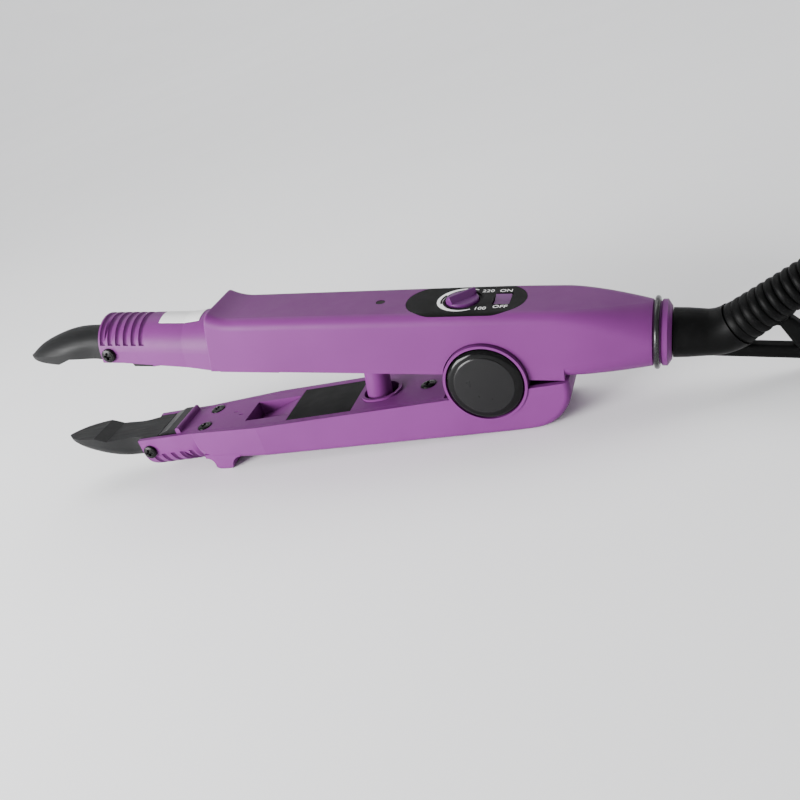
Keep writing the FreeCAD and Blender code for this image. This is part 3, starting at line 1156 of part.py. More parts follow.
def strainRelief():
    angle = math.radians(size("elbow_angle"))
    bend = size("elbow_bend")
    start = size("elbow_start")
    journal = newBody("swivel_journal")
    radius = size("journal_radius")
    head = size("neck_end") - 6 - size("seat_gap")
    profile = [(head - 2.2, 3.4), (head - 2.2, radius + 1.2), (head, radius + 1.2), (head, radius),
               (size("collar_end") + size("seat_gap"), radius),
               (size("collar_end") + size("seat_gap"), size("stub_radius")),
               (size("collar_end") + 4.5, size("stub_radius") - 0.1), (start, size("elbow_radius")),
               (start, 3.4)]
    revolve(journal, newSketch(journal, "XZ_Plane", [profile]))
    middle = vec(start + bend * math.sin(angle / 2), 0, bend * (1 - math.cos(angle / 2)))
    path = Part.Wire([Part.Arc(vec(start, 0, 0), middle, elbowPoint(0)).toShape()])
    bends = []
    for value in (size("elbow_radius"), size("cord_radius") + 0.15):
        section = Part.Wire([Part.Circle(vec(start, 0, 0), vec(1, 0, 0), value).toShape()])
        bends.append(path.makePipeShell([section], True, False))
    elbow = solid("elbow", bends[0].cut(bends[1]))
    low = -size("stub_radius")
    bar = size("loop_bar")
    tip_x = start + 32
    outer = [(start - 2, low + 1.0), (start + 2, low - 0.6), (tip_x - 5, low - 1.4),
             (tip_x + 0.8, low + 0.2, tip_x - 1.2, low + 5.6), (start + 21.6, 6.2), (start + 15, 7.5)]
    inner = [(start + 11.5, low - 0.9 + bar), (tip_x - 8.2, low - 1.3 + bar), (start + 19.0, 3.2),
             (start + 16.6, 3.6)]
    faces = [Part.Face(Part.Wire([edge.toShape() for edge in outlineEdges(
        outline, lambda x, z: vec(x, -size("loop_plate") / 2, z))])) for outline in (outer, inner)]
    plates = [face.extrude(vec(0, size("loop_plate"), 0)) for face in faces]
    ring = plates[0].cut(plates[1])
    rims = [edge for edge in ring.Edges if abs(edge.tangentAt(edge.FirstParameter).y) < 0.5]
    ring = ring.makeFillet(size("loop_round"), rims)
    bore_edge = elbowPoint(-0.01)
    sleeve_way = elbowPoint(1) - elbowPoint(0)
    sleeve_room = Part.makeCylinder(size("sleeve_radius") + 0.05, 60, bore_edge, sleeve_way)
    way_in = Part.makeCylinder(size("cord_radius") + 1.5, 40, vec(start - 30, 0, 0), vec(1, 0, 0))
    loop = ring.cut(sleeve_room).cut(way_in).cut(bends[1])
    relief = fuse("strain_relief", [journal, elbow, solid("hanging_loop", loop)])
    keep("strain_relief", relief, neck_frame)


def ribbedSleeve():
    """Tapered sleeve with ribs, along its own X axis from the end of the elbow."""
    body = newBody("ribbed_sleeve")
    length = size("sleeve_length")
    count = int(size("rib_count"))
    pitch = length / count
    bore = size("cord_radius") + size("fit_gap")
    outline = [(0, bore), (0, size("sleeve_radius"))]
    for index in range(count):
        x = pitch * index
        outer = size("sleeve_radius") + (size("sleeve_tip") - size("sleeve_radius")) * (index + 0.5) / count
        depth = min(size("rib_depth"), outer - bore - 0.35) * min(1.0, 0.35 + 0.16 * index)
        if index:
            outline.append((x, outer - 0.25))
        outline += [(x + pitch * 0.25, outer), (x + pitch * 0.55, outer), (x + pitch * 0.62, outer - depth),
                    (x + pitch * 0.92, outer - depth)]
    outline += [(length, size("sleeve_tip") - 0.4), (length, bore)]
    revolve(body, newSketch(body, "XZ_Plane", [outline]))
    way = FreeCAD.Placement(elbowPoint(0.05), turnAbout((0, 1, 0), -size("elbow_angle")))
    body.Placement = way
    keep("ribbed_sleeve", body, neck_frame)


def biarc(start, way, end, end_way):
    """Two arcs that leave start along way and reach end along end_way."""
    chord = end - start
    both = way + end_way
    a = 2 * (1 - way.dot(end_way))
    b = 2 * chord.dot(both)
    c = -chord.dot(chord)
    reach = -c / b if abs(a) < 1e-9 else (-b + math.sqrt(b * b - 4 * a * c)) / (2 * a)
    first = start + way * reach
    second = end - end_way * reach
    join = (first + second) * 0.5
    arcs = []
    for p, t, q in ((start, way, join), (end, end_way * -1, join)):
        side = q - p
        height = side - t * side.dot(t)
        radius = side.dot(side) / (2 * height.Length)
        normal = height.normalize()
        centre = p + normal * radius
        out = ((p - centre) + (q - centre)).normalize()
        arcs.append((p, centre + out * radius, q))
    return [Part.Arc(*arcs[0]), Part.Arc(arcs[1][2], arcs[1][1], arcs[1][0])]


# Middle of the put-away hank, in the part's frame, and the way over to it.
hank_x = 281.0
hank_y = size("hank_half") + size("hank_pitch") / 8 - size("entry_side")
hank_floor = size("cord_radius") + 0.05
lead_over = [vec(214, -10.6, 57.2), vec(246, -10.9, 56.2), vec(276, -10.8, 51.2)]

# The hank steps down a layer after so many turns first, and once a turn from there.
first_step = 0.75
layer_steps = 6
last_turn = 6.375


def hankHalf(turn):
    """Half width of the hank's loop after so many turns, the layer there and how fast it changes."""
    pitch = size("hank_pitch")
    sharp = size("hank_half") - pitch * turn
    layer = 0
    for index in range(layer_steps):
        corner = first_step + index
        way = -1 if index % 2 == 0 else 1
        if turn > corner:
            sharp -= 2 * way * pitch * (turn - corner)
            layer += 1
        ease = 0.125 - abs(turn - corner)
        if ease > 0:
            sharp -= way * pitch * ease ** 2 / 0.25
            share = (turn - corner + 0.125) / 0.25
            return sharp, index + share ** 2 * (3 - 2 * share), share * (1 - share) * 6
    return sharp, layer, 0.0


def hankPoint(eighth):
    """Station of the hank's centreline in eighths of a loop from its far end, with its direction."""
    half, layer, slope = hankHalf(eighth / 8)
    run = size("hank_run") / 2
    waist = half - size("hank_draw")
    lift = size("hank_lift")
    z = hank_floor + size("hank_layer") * (layer_steps - layer)
    fall = -slope * size("hank_layer") / size("hank_run")
    x, y, raised, way = [
        (run + half, 0, 0, vec(0, 1)), (run, half, 0, vec(-1, 0)), (0, waist, lift, vec(-1, 0, fall)),
        (-run, half, 0, vec(-1, 0)), (-run - half, 0, 0, vec(0, -1)), (-run, -half, 0, vec(1, 0)),
        (0, -waist, lift, vec(1, 0, fall)), (run, -half, 0, vec(1, 0)),
    ][eighth % 8]
    return vec(hank_x + x, hank_y + y, z + raised), way.normalize()


def hankShape():
    """The put-away hank as one unbroken tube: layers of loops, drawn in at the waist."""
    stations = [hankPoint(eighth) for eighth in range(-1, round(last_turn * 8) + 1)]
    edges = []
    for (p, t), (q, u) in zip(stations, stations[1:]):
        edges += biarc(p, t, q, u)
    lead = 2 * size("cord_radius")
    first, first_way = stations[0]
    last, last_way = stations[-1]
    enter = first - first_way * lead
    leave = last + last_way * lead
    path = Part.Wire([edge.toShape() for edge in
                      [Part.LineSegment(enter, first)] + edges + [Part.LineSegment(last, leave)]])
    section = Part.Wire([Part.Circle(enter, first_way, size("cord_radius")).toShape()])
    shape = path.makePipeShell([section], True, False)
    print("cord_hank length", round(path.Length), "volume ratio",
          round(shape.Volume / (math.pi * size("cord_radius") ** 2 * path.Length), 4))
    leastGap(path)
    return shape, enter, leave


def leastGap(path):
    """Least gap of the hank to itself, measured on points along its centreline."""
    points = path.discretize(Distance=1.5)
    best = 1e9
    for index, point in enumerate(points):
        for other in points[index + 20:]:
            best = min(best, point.distanceToPoint(other))
    print("cord_hank least gap", round(best - 2 * size("cord_radius"), 2))


def hankTie():
    """Strap round the hank's waist."""
    inner_run = hank_y - hankHalf(first_step)[0] + size("hank_draw")
    outer_run = hank_y - hankHalf(first_step + 1)[0] + size("hank_draw")
    far = hank_y + hankHalf(0.25)[0] - size("hank_draw")
    # side and layer, counted up from the floor, of the runs that the strap goes round; the ones that
    # step down slope by a share of a layer within its width
    slope = 0.11
    corners = [(outer_run, 0.5 - slope), (far, 0), (far, layer_steps),
               (inner_run, layer_steps - 0.5 + slope), (outer_run, layer_steps - 1.5 + slope)]
    foot = hank_floor + size("hank_lift")
    points = [vec(hank_x - size("tie_width") / 2, y, foot + layer * size("hank_layer"))
              for y, layer in corners]
    line = Part.makePolygon(points + points[:1])
    room = size("cord_radius") + size("tie_gap")
    inner = Part.Face(Part.Wire(line.makeOffset2D(room)))
    outer = Part.Face(Part.Wire(line.makeOffset2D(room + size("tie_strap"))))
    return outer.cut(inner).extrude(vec(size("tie_width"), 0, 0))


def cords():
    radius = size("cord_radius")
    hank, hank_in, hank_out = hankShape()
    seated = size("sleeve_length") * 0.62
    start = neck_frame.multVec(elbowPoint(seated))
    away = neck_frame.multVec(elbowPoint(seated + 1)) - start
    beyond = start + away * (size("sleeve_length") - seated + 14)
    route = [start, beyond] + lead_over + [hank_in - vec(size("entry_run"), 0, 0), hank_in]
    keep("cord_lead", solid("cord_lead", tube("cord_lead", route, radius)), part_frame)
    keep("cord_hank", solid("cord_hank", hank), part_frame)
    keep("cord_tie", solid("cord_tie", hankTie()), part_frame)
    plug_back = hank_out + vec(-size("tail_length"), 0, size("plug_back_height") - hank_out.z)
    plug_rise = size("plug_height") / 2 + size("plug_clear") - plug_back.z
    tilt = math.degrees(math.asin(plug_rise / size("plug_length")))
    place = FreeCAD.Placement(plug_back, FreeCAD.Rotation(180, -tilt, 0))
    reach = place.multVec(vec(-10, 0, 0))
    route = [hank_out, hank_out - vec(10, 0, 0), reach, plug_back]
    keep("cord_tail", solid("cord_tail", tube("cord_tail", route, radius)), part_frame)
    plug(place)


def plug(place):
    """Flat two-pin plug: local X runs from the cord through the body to the pins."""
    length = size("plug_length")
    half_y = size("plug_width") / 2
    half_z = size("plug_height") / 2
    # share of the length, half width and half height there
    stations = [(0.0, 5.2, 4.6), (0.06, 6.2, 5.2), (0.3, 8.0, 5.6), (0.6, 13.2, 6.2),
                (0.86, half_y - 0.3, half_z), (0.97, half_y, half_z), (1.0, half_y - 0.5, half_z - 0.5)]
    wires = [sectionWire(share * length, half, -rise, rise, rise - 0.7, rise - 0.7)
             for share, half, rise in stations]
    body = Part.makeLoft(wires, True, False)
    buried = size("plug_pin_radius") - 0.3
    bores = [Part.makeCylinder(buried + 0.02, 14, vec(length - 13, side * size("pin_spacing") / 2, 0),
                               vec(1, 0, 0)) for side in (-1, 1)]
    keep("plug_body", solid("plug_body", body.cut(bores[0]).cut(bores[1])), place)
    radius = size("plug_pin_radius")
    reach = size("plug_pin_length")
    pins = []
    for side in (-1, 1):
        pin = newBody("plug_pin")
        profile = [(length - 12.9, 0), (length - 12.9, buried), (length + 0.6, buried),
                   (length + 0.6, radius - 0.02), (length + reach - 1.2, radius - 0.02),
                   (length + reach - 0.35, radius - 0.35, length + reach, 0.5), (length + reach, 0)]
        revolve(pin, newSketch(pin, "XZ_Plane", [profile]))
        pin.Placement.Base = vec(0, side * size("pin_spacing") / 2, 0)
        pins.append(pin)
    keep("plug_pins", group("plug_pins", pins), place)


def heaterLeads():
    """Pairs of wires from the heaters: to the board above, and back to the hinge below."""
    start = -size("jaw_root") - 1.8
    slot = padLine(-size("pad_end")) + size("pad_depth") + size("heater_lift") + size("heater_height") / 2
    board = size("board_height") - 0.05
    pair = [tube("upper_lead", [vec(start, side * 0.9, slot), vec(start + 8, side * 1.1, slot + 0.2),
                                vec(start + 20, side * 1.8, 7.6), vec(start + 32, side * 2.0, 6.4),
                                vec(start + 44, side * 2.1, 7.2), vec(start + 47, side * 2.2, 10.5),
                                vec(start + 47, side * 2.2, board)], 0.7)
            for side in (-1, 1)]
    keep("upper_leads", group("upper_leads", [solid("upper_lead", wire) for wire in pair]), upper_frame)
    low = -size("belly_depth") + 3.2
    pair = [tube("lower_lead", [vec(start, side * 0.9, -slot), vec(start + 8, side * 1.1, -slot - 0.4),
                                vec(start + 20, side * 1.6 + 1, low),
                                vec(start + 44, side * 0.9 + 4, low - 0.3),
                                vec(start + 62, side * 0.9 + 8.2, low - 0.8),
                                vec(start + 84, side * 0.9 + 8.6, low - 1.2),
                                vec(start + 100, side * 0.9 + 5.0, low - 1.8)], 0.7)
            for side in (-1, 1)]
    keep("lower_leads", group("lower_leads", [solid("lower_lead", wire) for wire in pair]), lower_frame)


def noseLabel():
    """Thin sticker over the top of the upper nose, following its flare."""
    skin = noseShape(-0.15, size("nose_end")).cut(noseShape(-0.02, size("nose_end") + 1))
    patch = Part.makeBox(size("sticker_length"), size("sticker_width"), 20,
                         vec(-size("sticker_front"), -size("sticker_side"), size("nose_height") + 3))
    keep("nose_label", solid("nose_label", skin.common(patch)), upper_frame)


# Build order
upper_shell, upper_outer = upperShell()
upperCover()
upperEnd()
controls(upper_outer)
lowerShell()
hinge()
lowerCover()
lowerEnd()
coverScrewGroups()
returnSpring()
neck()
strainRelief()
ribbedSleeve()
cords()
heaterLeads()
noseLabel()

doc.recompute()
for feature in doc.Objects:
    if "Invalid" in feature.State or "Error" in feature.State:
        raise ValueError(feature.Label + " failed: " + str(feature.State))
os.makedirs("parts", exist_ok=True)
for piece in pieces:
    if piece.Shape.isNull() or not piece.Shape.isValid():
        raise ValueError(piece.Label + " has no valid shape")
    piece.Shape.exportStep("parts/" + piece.Label + ".step")
    print(piece.Label, len(piece.Shape.Solids), "solids", round(piece.Shape.Volume, 1), "mm3")
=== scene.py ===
import math
import bmesh
import bpy
from mathutils import Matrix, Vector
from mathutils.bvhtree import BVHTree


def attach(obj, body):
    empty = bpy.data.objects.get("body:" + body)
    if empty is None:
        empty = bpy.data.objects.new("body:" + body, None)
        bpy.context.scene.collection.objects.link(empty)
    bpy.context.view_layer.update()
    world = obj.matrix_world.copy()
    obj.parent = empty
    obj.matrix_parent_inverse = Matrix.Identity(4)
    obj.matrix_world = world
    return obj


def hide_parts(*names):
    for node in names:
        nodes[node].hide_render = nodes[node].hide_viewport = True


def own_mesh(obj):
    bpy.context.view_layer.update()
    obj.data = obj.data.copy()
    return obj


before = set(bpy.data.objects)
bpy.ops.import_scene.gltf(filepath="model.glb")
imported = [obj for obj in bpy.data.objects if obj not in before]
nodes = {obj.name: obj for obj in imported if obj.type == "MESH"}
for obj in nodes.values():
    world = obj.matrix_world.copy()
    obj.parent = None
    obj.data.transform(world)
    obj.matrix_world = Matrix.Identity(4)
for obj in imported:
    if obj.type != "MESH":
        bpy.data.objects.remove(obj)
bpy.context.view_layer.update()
mm = 0.001

# Both arms turn about the hub; each has its own frame with +X to the neck, tilted by so many degrees.
hub = Vector((58.366, 0.0, 18.625)) * mm
upperTilt = 11.268
lowerTilt = 0.808
upperFrame = Matrix.Translation(hub) @ Matrix.Rotation(math.radians(upperTilt), 4, "Y")
lowerFrame = Matrix.Translation(hub) @ Matrix.Rotation(math.radians(lowerTilt), 4, "Y")
print("frame loaded:", len(nodes), "nodes")


# camera, as the photograph was taken
photoCamera = {
    "centre": (0.15022, -0.25456, 0.14770),
    "right": (0.90388, 0.27430, -0.32827),
    "up": (0.14615, 0.52318, 0.83960),
    "back": (0.40205, -0.80687, 0.43280),
    "lens": 42.741,
    "sensor": 36.0,
}


def setCamera(look):
    camera = bpy.data.objects.new("photoCamera", bpy.data.cameras.new("photoCamera"))
    bpy.context.scene.collection.objects.link(camera)
    camera.data.lens = look["lens"]
    camera.data.sensor_width = look["sensor"]
    camera.data.clip_start = 0.01
    camera.data.clip_end = 60.0
    turn = Matrix((look["right"], look["up"], look["back"])).transposed().to_4x4()
    camera.matrix_world = Matrix.Translation(look["centre"]) @ turn
    bpy.context.scene.camera = camera


setCamera(photoCamera)
print("camera set")


# mesh helpers

def pieceFrom(shape, name):
    mesh = bpy.data.meshes.new(name)
    bmesh.ops.recalc_face_normals(shape, faces=shape.faces)
    shape.to_mesh(mesh)
    shape.free()
    mesh.shade_smooth()
    piece = bpy.data.objects.new(name, mesh)
    bpy.context.scene.collection.objects.link(piece)
    return piece


def skinRings(shape, rings):
    # faces from each ring of corners to the next; a ring may be one corner, repeated
    count = len(rings[0])
    for low, high in zip(rings, rings[1:]):
        for step in range(count):
            after = (step + 1) % count
            corners = [low[step], low[after], high[after], high[step]]
            face = [corner for index, corner in enumerate(corners) if corner not in corners[:index]]
            shape.faces.new(face)


def lathe(shape, profile, count):
    # turns (radius, height) pairs about Z; a height may be a function of x and y
    rings = []
    for radius, height in profile:
        turns = [2 * math.pi * step / count for step in range(count)]
        places = [(radius * math.cos(turn), radius * math.sin(turn)) for turn in turns]
        if radius == 0:
            places = places[:1]
        ring = [shape.verts.new((x, y, height(x, y) if callable(height) else height)) for x, y in places]
        rings.append(ring * (count // len(ring)))
    skinRings(shape, rings)


def finished(piece):
    # the piece with its modifiers applied, as a plain mesh
    graph = bpy.context.evaluated_depsgraph_get()
    mesh = bpy.data.meshes.new_from_object(piece.evaluated_get(graph), depsgraph=graph)
    mesh.name = piece.name + "Mesh"
    piece.modifiers.clear()
    piece.data = mesh
    return piece


def moveMesh(piece, place):
    piece.data.transform(place)
    piece.data.update()


def drop(piece):
    bpy.data.objects.remove(piece, do_unlink=True)


# materials

def shader(finish):
    return finish.node_tree.nodes["Principled BSDF"]


def newFinish(name, colour, roughness, metallic=0.0, coat=0.0, specular=0.5):
    finish = bpy.data.materials.new(name)
    finish.use_nodes = True
    inputs = shader(finish).inputs
    inputs["Base Color"].default_value = (*colour, 1.0)
    inputs["Roughness"].default_value = roughness
    inputs["Metallic"].default_value = metallic
    inputs["Coat Weight"].default_value = coat
    inputs["Coat Roughness"].default_value = 0.12
    inputs["Specular IOR Level"].default_value = specular
    finish.diffuse_color = (*colour, 1.0)
    return finish


def addNode(finish, kind, **values):
    node = finish.node_tree.nodes.new(kind)
    for name, value in values.items():
        if name in node.inputs:
            node.inputs[name].default_value = value
        else:
            setattr(node, name, value)
    return node


def link(finish, source, target):
    finish.node_tree.links.new(source, target)


def patternPlace(finish, move=(0, 0, 0), stretch=(1, 1, 1)):
    # Object coordinates, stretched and moved
    place = addNode(finish, "ShaderNodeTexCoord")
    mapping = addNode(finish, "ShaderNodeMapping", Location=move, Scale=stretch)
    link(finish, place.outputs["Object"], mapping.inputs["Vector"])
    return mapping.outputs["Vector"]


def noise(finish, place, scale, detail=3.0, roughness=0.55):
    node = addNode(finish, "ShaderNodeTexNoise", Scale=scale, Detail=detail, Roughness=roughness)
    link(finish, place, node.inputs["Vector"])
    return node.outputs["Fac"]


def spreadRange(finish, value, low, high, start=0.3, end=0.7):
    node = addNode(finish, "ShaderNodeMapRange")
    node.inputs["From Min"].default_value = start
    node.inputs["From Max"].default_value = end
    node.inputs["To Min"].default_value = low
    node.inputs["To Max"].default_value = high
    link(finish, value, node.inputs["Value"])
    return node.outputs["Result"]


def varyColour(finish, value, dark, light):
    ramp = addNode(finish, "ShaderNodeValToRGB")
    ramp.color_ramp.elements[0].position = 0.32
    ramp.color_ramp.elements[1].position = 0.68
    ramp.color_ramp.elements[0].color = (*dark, 1.0)
    ramp.color_ramp.elements[1].color = (*light, 1.0)
    link(finish, value, ramp.inputs["Fac"])
    link(finish, ramp.outputs["Color"], shader(finish).inputs["Base Color"])


def bumpFrom(finish, value, distance, strength=1.0, after=None):
    bump = addNode(finish, "ShaderNodeBump", Strength=strength, Distance=distance)
    link(finish, value, bump.inputs["Height"])
    if after is not None:
        link(finish, after, bump.inputs["Normal"])
    link(finish, bump.outputs["Normal"], shader(finish).inputs["Normal"])
    return bump.outputs["Normal"]


def shade(colour, factor):
    return tuple(min(1.0, channel * factor) for channel in colour)


def mouldedPlastic(name, colour, roughness, grain, depth, coat=0.0, specular=0.5, spread=0.06):
    # satin moulded plastic: fine spark-eroded grain, and a slow drift in tone and gloss
    finish = newFinish(name, colour, roughness, coat=coat, specular=specular)
    place = patternPlace(finish)
    drift = noise(finish, place, 38.0, 2.0)
    varyColour(finish, drift, shade(colour, 1.0 - spread), shade(colour, 1.0 + spread))
    gloss = noise(finish, place, 160.0, 3.0)
    link(finish, spreadRange(finish, gloss, roughness - 0.04, roughness + 0.05),
         shader(finish).inputs["Roughness"])
    first = bumpFrom(finish, noise(finish, place, grain, 4.0, 0.6), depth)
    bumpFrom(finish, noise(finish, place, grain / 14.0, 2.0), depth * 2.0, 0.6, first)
    return finish


def brushedMetal(name, colour, roughness, metallic, stretch, depth, specular=0.5):
    # drawn or brushed along one direction
    finish = newFinish(name, colour, roughness, metallic, specular=specular)
    place = patternPlace(finish, stretch=stretch)
    lines = noise(finish, place, 900.0, 4.0, 0.65)
    drift = noise(finish, patternPlace(finish), 90.0, 3.0)
    varyColour(finish, drift, shade(colour, 0.88), shade(colour, 1.1))
    link(finish, spreadRange(finish, lines, roughness - 0.06, roughness + 0.09),
         shader(finish).inputs["Roughness"])
    bumpFrom(finish, lines, depth)
    return finish


# plastics: colour, roughness, then scale and depth of the grain
# metals: colour, roughness, metallic, then stretch and depth of the brushing
housing = mouldedPlastic("purpleHousing", (0.135, 0.024, 0.142), 0.47, 5200.0, 0.000010, specular=0.15)
knobPlastic = mouldedPlastic("purpleKnob", (0.105, 0.016, 0.122), 0.36, 5200.0, 0.000008, specular=0.25)
jawCoat = brushedMetal("coatedJaw", (0.0095, 0.0097, 0.010), 0.46, 0.0, (0.12, 1.0, 1.0), 0.000008,
                       specular=0.1)
guardPlastic = mouldedPlastic("blackGuard", (0.004, 0.004, 0.0044), 0.38, 4200.0, 0.000008, specular=0.16)
panelPlastic = mouldedPlastic("blackPanel", (0.0035, 0.0037, 0.0035), 0.5, 6500.0, 0.000007, specular=0.06)
rubber = mouldedPlastic("blackRubber", (0.0022, 0.0023, 0.0023), 0.46, 3000.0, 0.000012, specular=0.07)
leadJacket = mouldedPlastic("blackLeadJacket", (0.0045, 0.0045, 0.005), 0.38, 2400.0, 0.000012,
                            specular=0.28)
oringRubber = mouldedPlastic("blackRing", (0.005, 0.005, 0.0055), 0.26, 3800.0, 0.000006, specular=0.45)
bareSticker = mouldedPlastic("whiteSticker", (0.80, 0.80, 0.79), 0.32, 2600.0, 0.000006, spread=0.02)
inkWhite = mouldedPlastic("whitePrint", (0.94, 0.94, 0.92), 0.5, 3000.0, 0.000003, spread=0.02)
darkPlate = mouldedPlastic("blackPlate", (0.0035, 0.0036, 0.0036), 0.5, 3600.0, 0.000012, specular=0.07)
screwSteel = brushedMetal("blackScrew", (0.004, 0.004, 0.0042), 0.28, 0.0, (1.0, 1.0, 1.0), 0.000006,
                          specular=0.14)
brightSteel = brushedMetal("springSteel", (0.56, 0.55, 0.53), 0.24, 1.0, (1.0, 1.0, 1.0), 0.000004)
plateNickel = brushedMetal("platedPin", (0.66, 0.64, 0.60), 0.20, 1.0, (1.0, 1.0, 0.2), 0.000003)
heaterStone = mouldedPlastic("whiteHeater", (0.62, 0.60, 0.55), 0.62, 2400.0, 0.000020)
wireJacket = mouldedPlastic("redWire", (0.36, 0.030, 0.024), 0.40, 3000.0, 0.000008)
boardGreen = mouldedPlastic("greenBoard", (0.020, 0.150, 0.060), 0.32, 1800.0, 0.000012, coat=0.3)
lampLens = mouldedPlastic("smokedLens", (0.006, 0.002, 0.003), 0.15, 900.0, 0.000003, specular=0.12)
tieStrap = mouldedPlastic("blackTie", (0.008, 0.008, 0.009), 0.62, 1600.0, 0.000030, specular=0.25)


def turnedCap(name, colour, roughness, border, rings, depth):
    # domed cap: satin disc with fine turned rings about the hinge axis, and a glossy border round it; the
    # disc is painted lighter than the border as a painted reflection of the bright surroundings
    borderBlend = 0.00025
    borderStep = 0.00016
    finish = newFinish(name, colour, roughness, specular=0.17)
    place = patternPlace(finish, move=(-hub.x, 0.0, -hub.z))
    flat = addNode(finish, "ShaderNodeVectorMath", operation="MULTIPLY")
    flat.inputs[1].default_value = (1.0, 0.0, 1.0)
    link(finish, place, flat.inputs[0])
    reach = addNode(finish, "ShaderNodeVectorMath", operation="LENGTH")
    link(finish, flat.outputs["Vector"], reach.inputs[0])
    outside = spreadRange(finish, reach.outputs["Value"], 0.0, 1.0, border - borderBlend,
                          border + borderBlend)
    wave = addNode(finish, "ShaderNodeTexWave", wave_type="RINGS", rings_direction="Y", wave_profile="SIN",
                   Scale=rings, Distortion=0.0, Detail=0.0)
    link(finish, place, wave.inputs["Vector"])
    # painted reflection: the disc inside the border is painted lighter (2.6 times the colour), the border
    # darker (half the colour)
    varyColour(finish, outside, shade(colour, 2.6), shade(colour, 0.5))
    gloss = spreadRange(finish, noise(finish, place, 140.0, 3.0), -0.03, 0.04)
    base = spreadRange(finish, outside, roughness, roughness * 0.35, 0.0, 1.0)
    total = addNode(finish, "ShaderNodeMath", operation="ADD")
    link(finish, gloss, total.inputs[0])
    link(finish, base, total.inputs[1])
    link(finish, total.outputs["Value"], shader(finish).inputs["Roughness"])
    step = bumpFrom(finish, spreadRange(finish, outside, 1.0, 0.0, 0.0, 1.0), borderStep)
    first = bumpFrom(finish, wave.outputs["Fac"], depth, 0.35, step)
    bumpFrom(finish, noise(finish, place, 2600.0, 2.0), depth * 0.5, 0.5, first)
    return finish


capGloss = turnedCap("blackHubCap", (0.0035, 0.0035, 0.0036), 0.3, border=0.0094, rings=420.0,
                     depth=0.000006)

# the nodes that pieces made below replace have no entry
finishOf = {
    "upper_shell": housing, "lower_shell": housing, "upper_cover": housing, "lower_cover": housing,
    "neck_collar": housing, "dial_knob": knobPlastic, "power_rocker": knobPlastic,
    "upper_jaw": jawCoat, "lower_jaw": jawCoat, "upper_guard": guardPlastic, "lower_guard": guardPlastic,
    "control_panel": panelPlastic, "neck_oring": oringRubber,
    "front_hub_cap": capGloss, "rear_hub_cap": capGloss,
    "nose_label": bareSticker, "label_plate": darkPlate, "led_lens": lampLens, "indicator_lamp": lampLens,
    "strain_relief": rubber, "plug_body": leadJacket, "plug_pins": plateNickel,
    "pivot_pin": brightSteel, "pin_clip": brightSteel,
    "upper_heater": heaterStone, "lower_heater": heaterStone, "upper_sensor": heaterStone,
    "lower_sensor": heaterStone, "upper_leads": wireJacket, "lower_leads": wireJacket,
    "circuit_board": boardGreen, "board_components": guardPlastic, "dial_potentiometer": panelPlastic,
    "dial_shaft": panelPlastic, "switch_body": guardPlastic,
}


def dress(piece, finish):
    if not piece.material_slots:
        piece.data.materials.append(finish)
    for place in piece.material_slots:
        place.material = finish


for name, finish in finishOf.items():
    dress(nodes[name], finish)
print("materials made:", len(bpy.data.materials))


# plain pale floor that curves up far behind, and soft studio light
studio = {
    "flatRadius": 2.2,
    "wallRadius": 4.4,
    "wallHeight": 3.4,
    "curveSteps": 24,
    "floorSides": 96,
    "floorColour": (0.93, 0.93, 0.935),
    "sky": (0.97, 0.98, 1.0),
    "skyStrength": 0.62,
    "lamps": [
        # name, place, aim, width, height, watts
        ("keySoftbox", (-0.46, -0.52, 0.19), (-0.03, 0.0, 0.03), 0.46, 0.28, 15.0),
        ("topSoftbox", (-0.6, 1.7, 2.6), (-0.3, 1.1, 0.0), 3.0, 2.4, 60.0),
    ],
}


def buildStudio(look):
    flat, reach = look["flatRadius"], look["wallRadius"] - look["flatRadius"]
    profile = [(0.0, 0.0), (flat * 0.5, 0.0)]
    for step in range(look["curveSteps"] + 1):
        climb = step / look["curveSteps"] * math.pi / 2
        profile.append((flat + reach * math.sin(climb), look["wallHeight"] * (1 - math.cos(climb))))
    shape = bmesh.new()
    lathe(shape, profile, look["floorSides"])
    floor = pieceFrom(shape, "studioFloor")
    floorFinish = newFinish("paleFloor", look["floorColour"], 0.6)
    varyColour(floorFinish, noise(floorFinish, patternPlace(floorFinish), 6.0, 3.0),
               shade(look["floorColour"], 0.985), shade(look["floorColour"], 1.01))
    dress(floor, floorFinish)
    world = bpy.data.worlds.new("studioSky")
    world.use_nodes = True
    sky = world.node_tree.nodes["Background"]
    sky.inputs["Color"].default_value = (*look["sky"], 1.0)
    sky.inputs["Strength"].default_value = look["skyStrength"]
    bpy.context.scene.world = world
    for name, place, aim, width, height, watts in look["lamps"]:
        lamp = bpy.data.lights.new(name, "AREA")
        lamp.shape = "RECTANGLE"
        lamp.size = width
        lamp.size_y = height
        lamp.energy = watts
        softbox = bpy.data.objects.new(name, lamp)
        bpy.context.scene.collection.objects.link(softbox)
        softbox.location = place
        softbox.rotation_euler = (Vector(aim) - Vector(place)).to_track_quat("-Z", "Y").to_euler()


buildStudio(studio)
print("studio built")


# geometry node helpers

def newTree(name, inputs):
    tree = bpy.data.node_groups.new(name, "GeometryNodeTree")
    tree.interface.new_socket("Geometry", in_out="INPUT", socket_type="NodeSocketGeometry")
    for label, kind in inputs:
        tree.interface.new_socket(label, in_out="INPUT", socket_type="NodeSocket" + kind)
    tree.interface.new_socket("Geometry", in_out="OUTPUT", socket_type="NodeSocketGeometry")
    return tree, tree.nodes.new("NodeGroupInput"), tree.nodes.new("NodeGroupOutput")


def treeNode(tree, kind, *sources, **values):
    # a node with its first inputs linked or set in order, and named inputs or properties after them
    node = tree.nodes.new(kind)
    for name, value in values.items():
        if name.replace("_", " ") in node.inputs:
            feed(tree, value, node.inputs[name.replace("_", " ")])
        else:
            setattr(node, name, value)
    for source, target in zip(sources, node.inputs):
        feed(tree, source, target)
    return node.outputs[0]


def feed(tree, source, target):
    if isinstance(source, bpy.types.NodeSocket):
        tree.links.new(source, target)
    elif source is not None:
        target.default_value = source


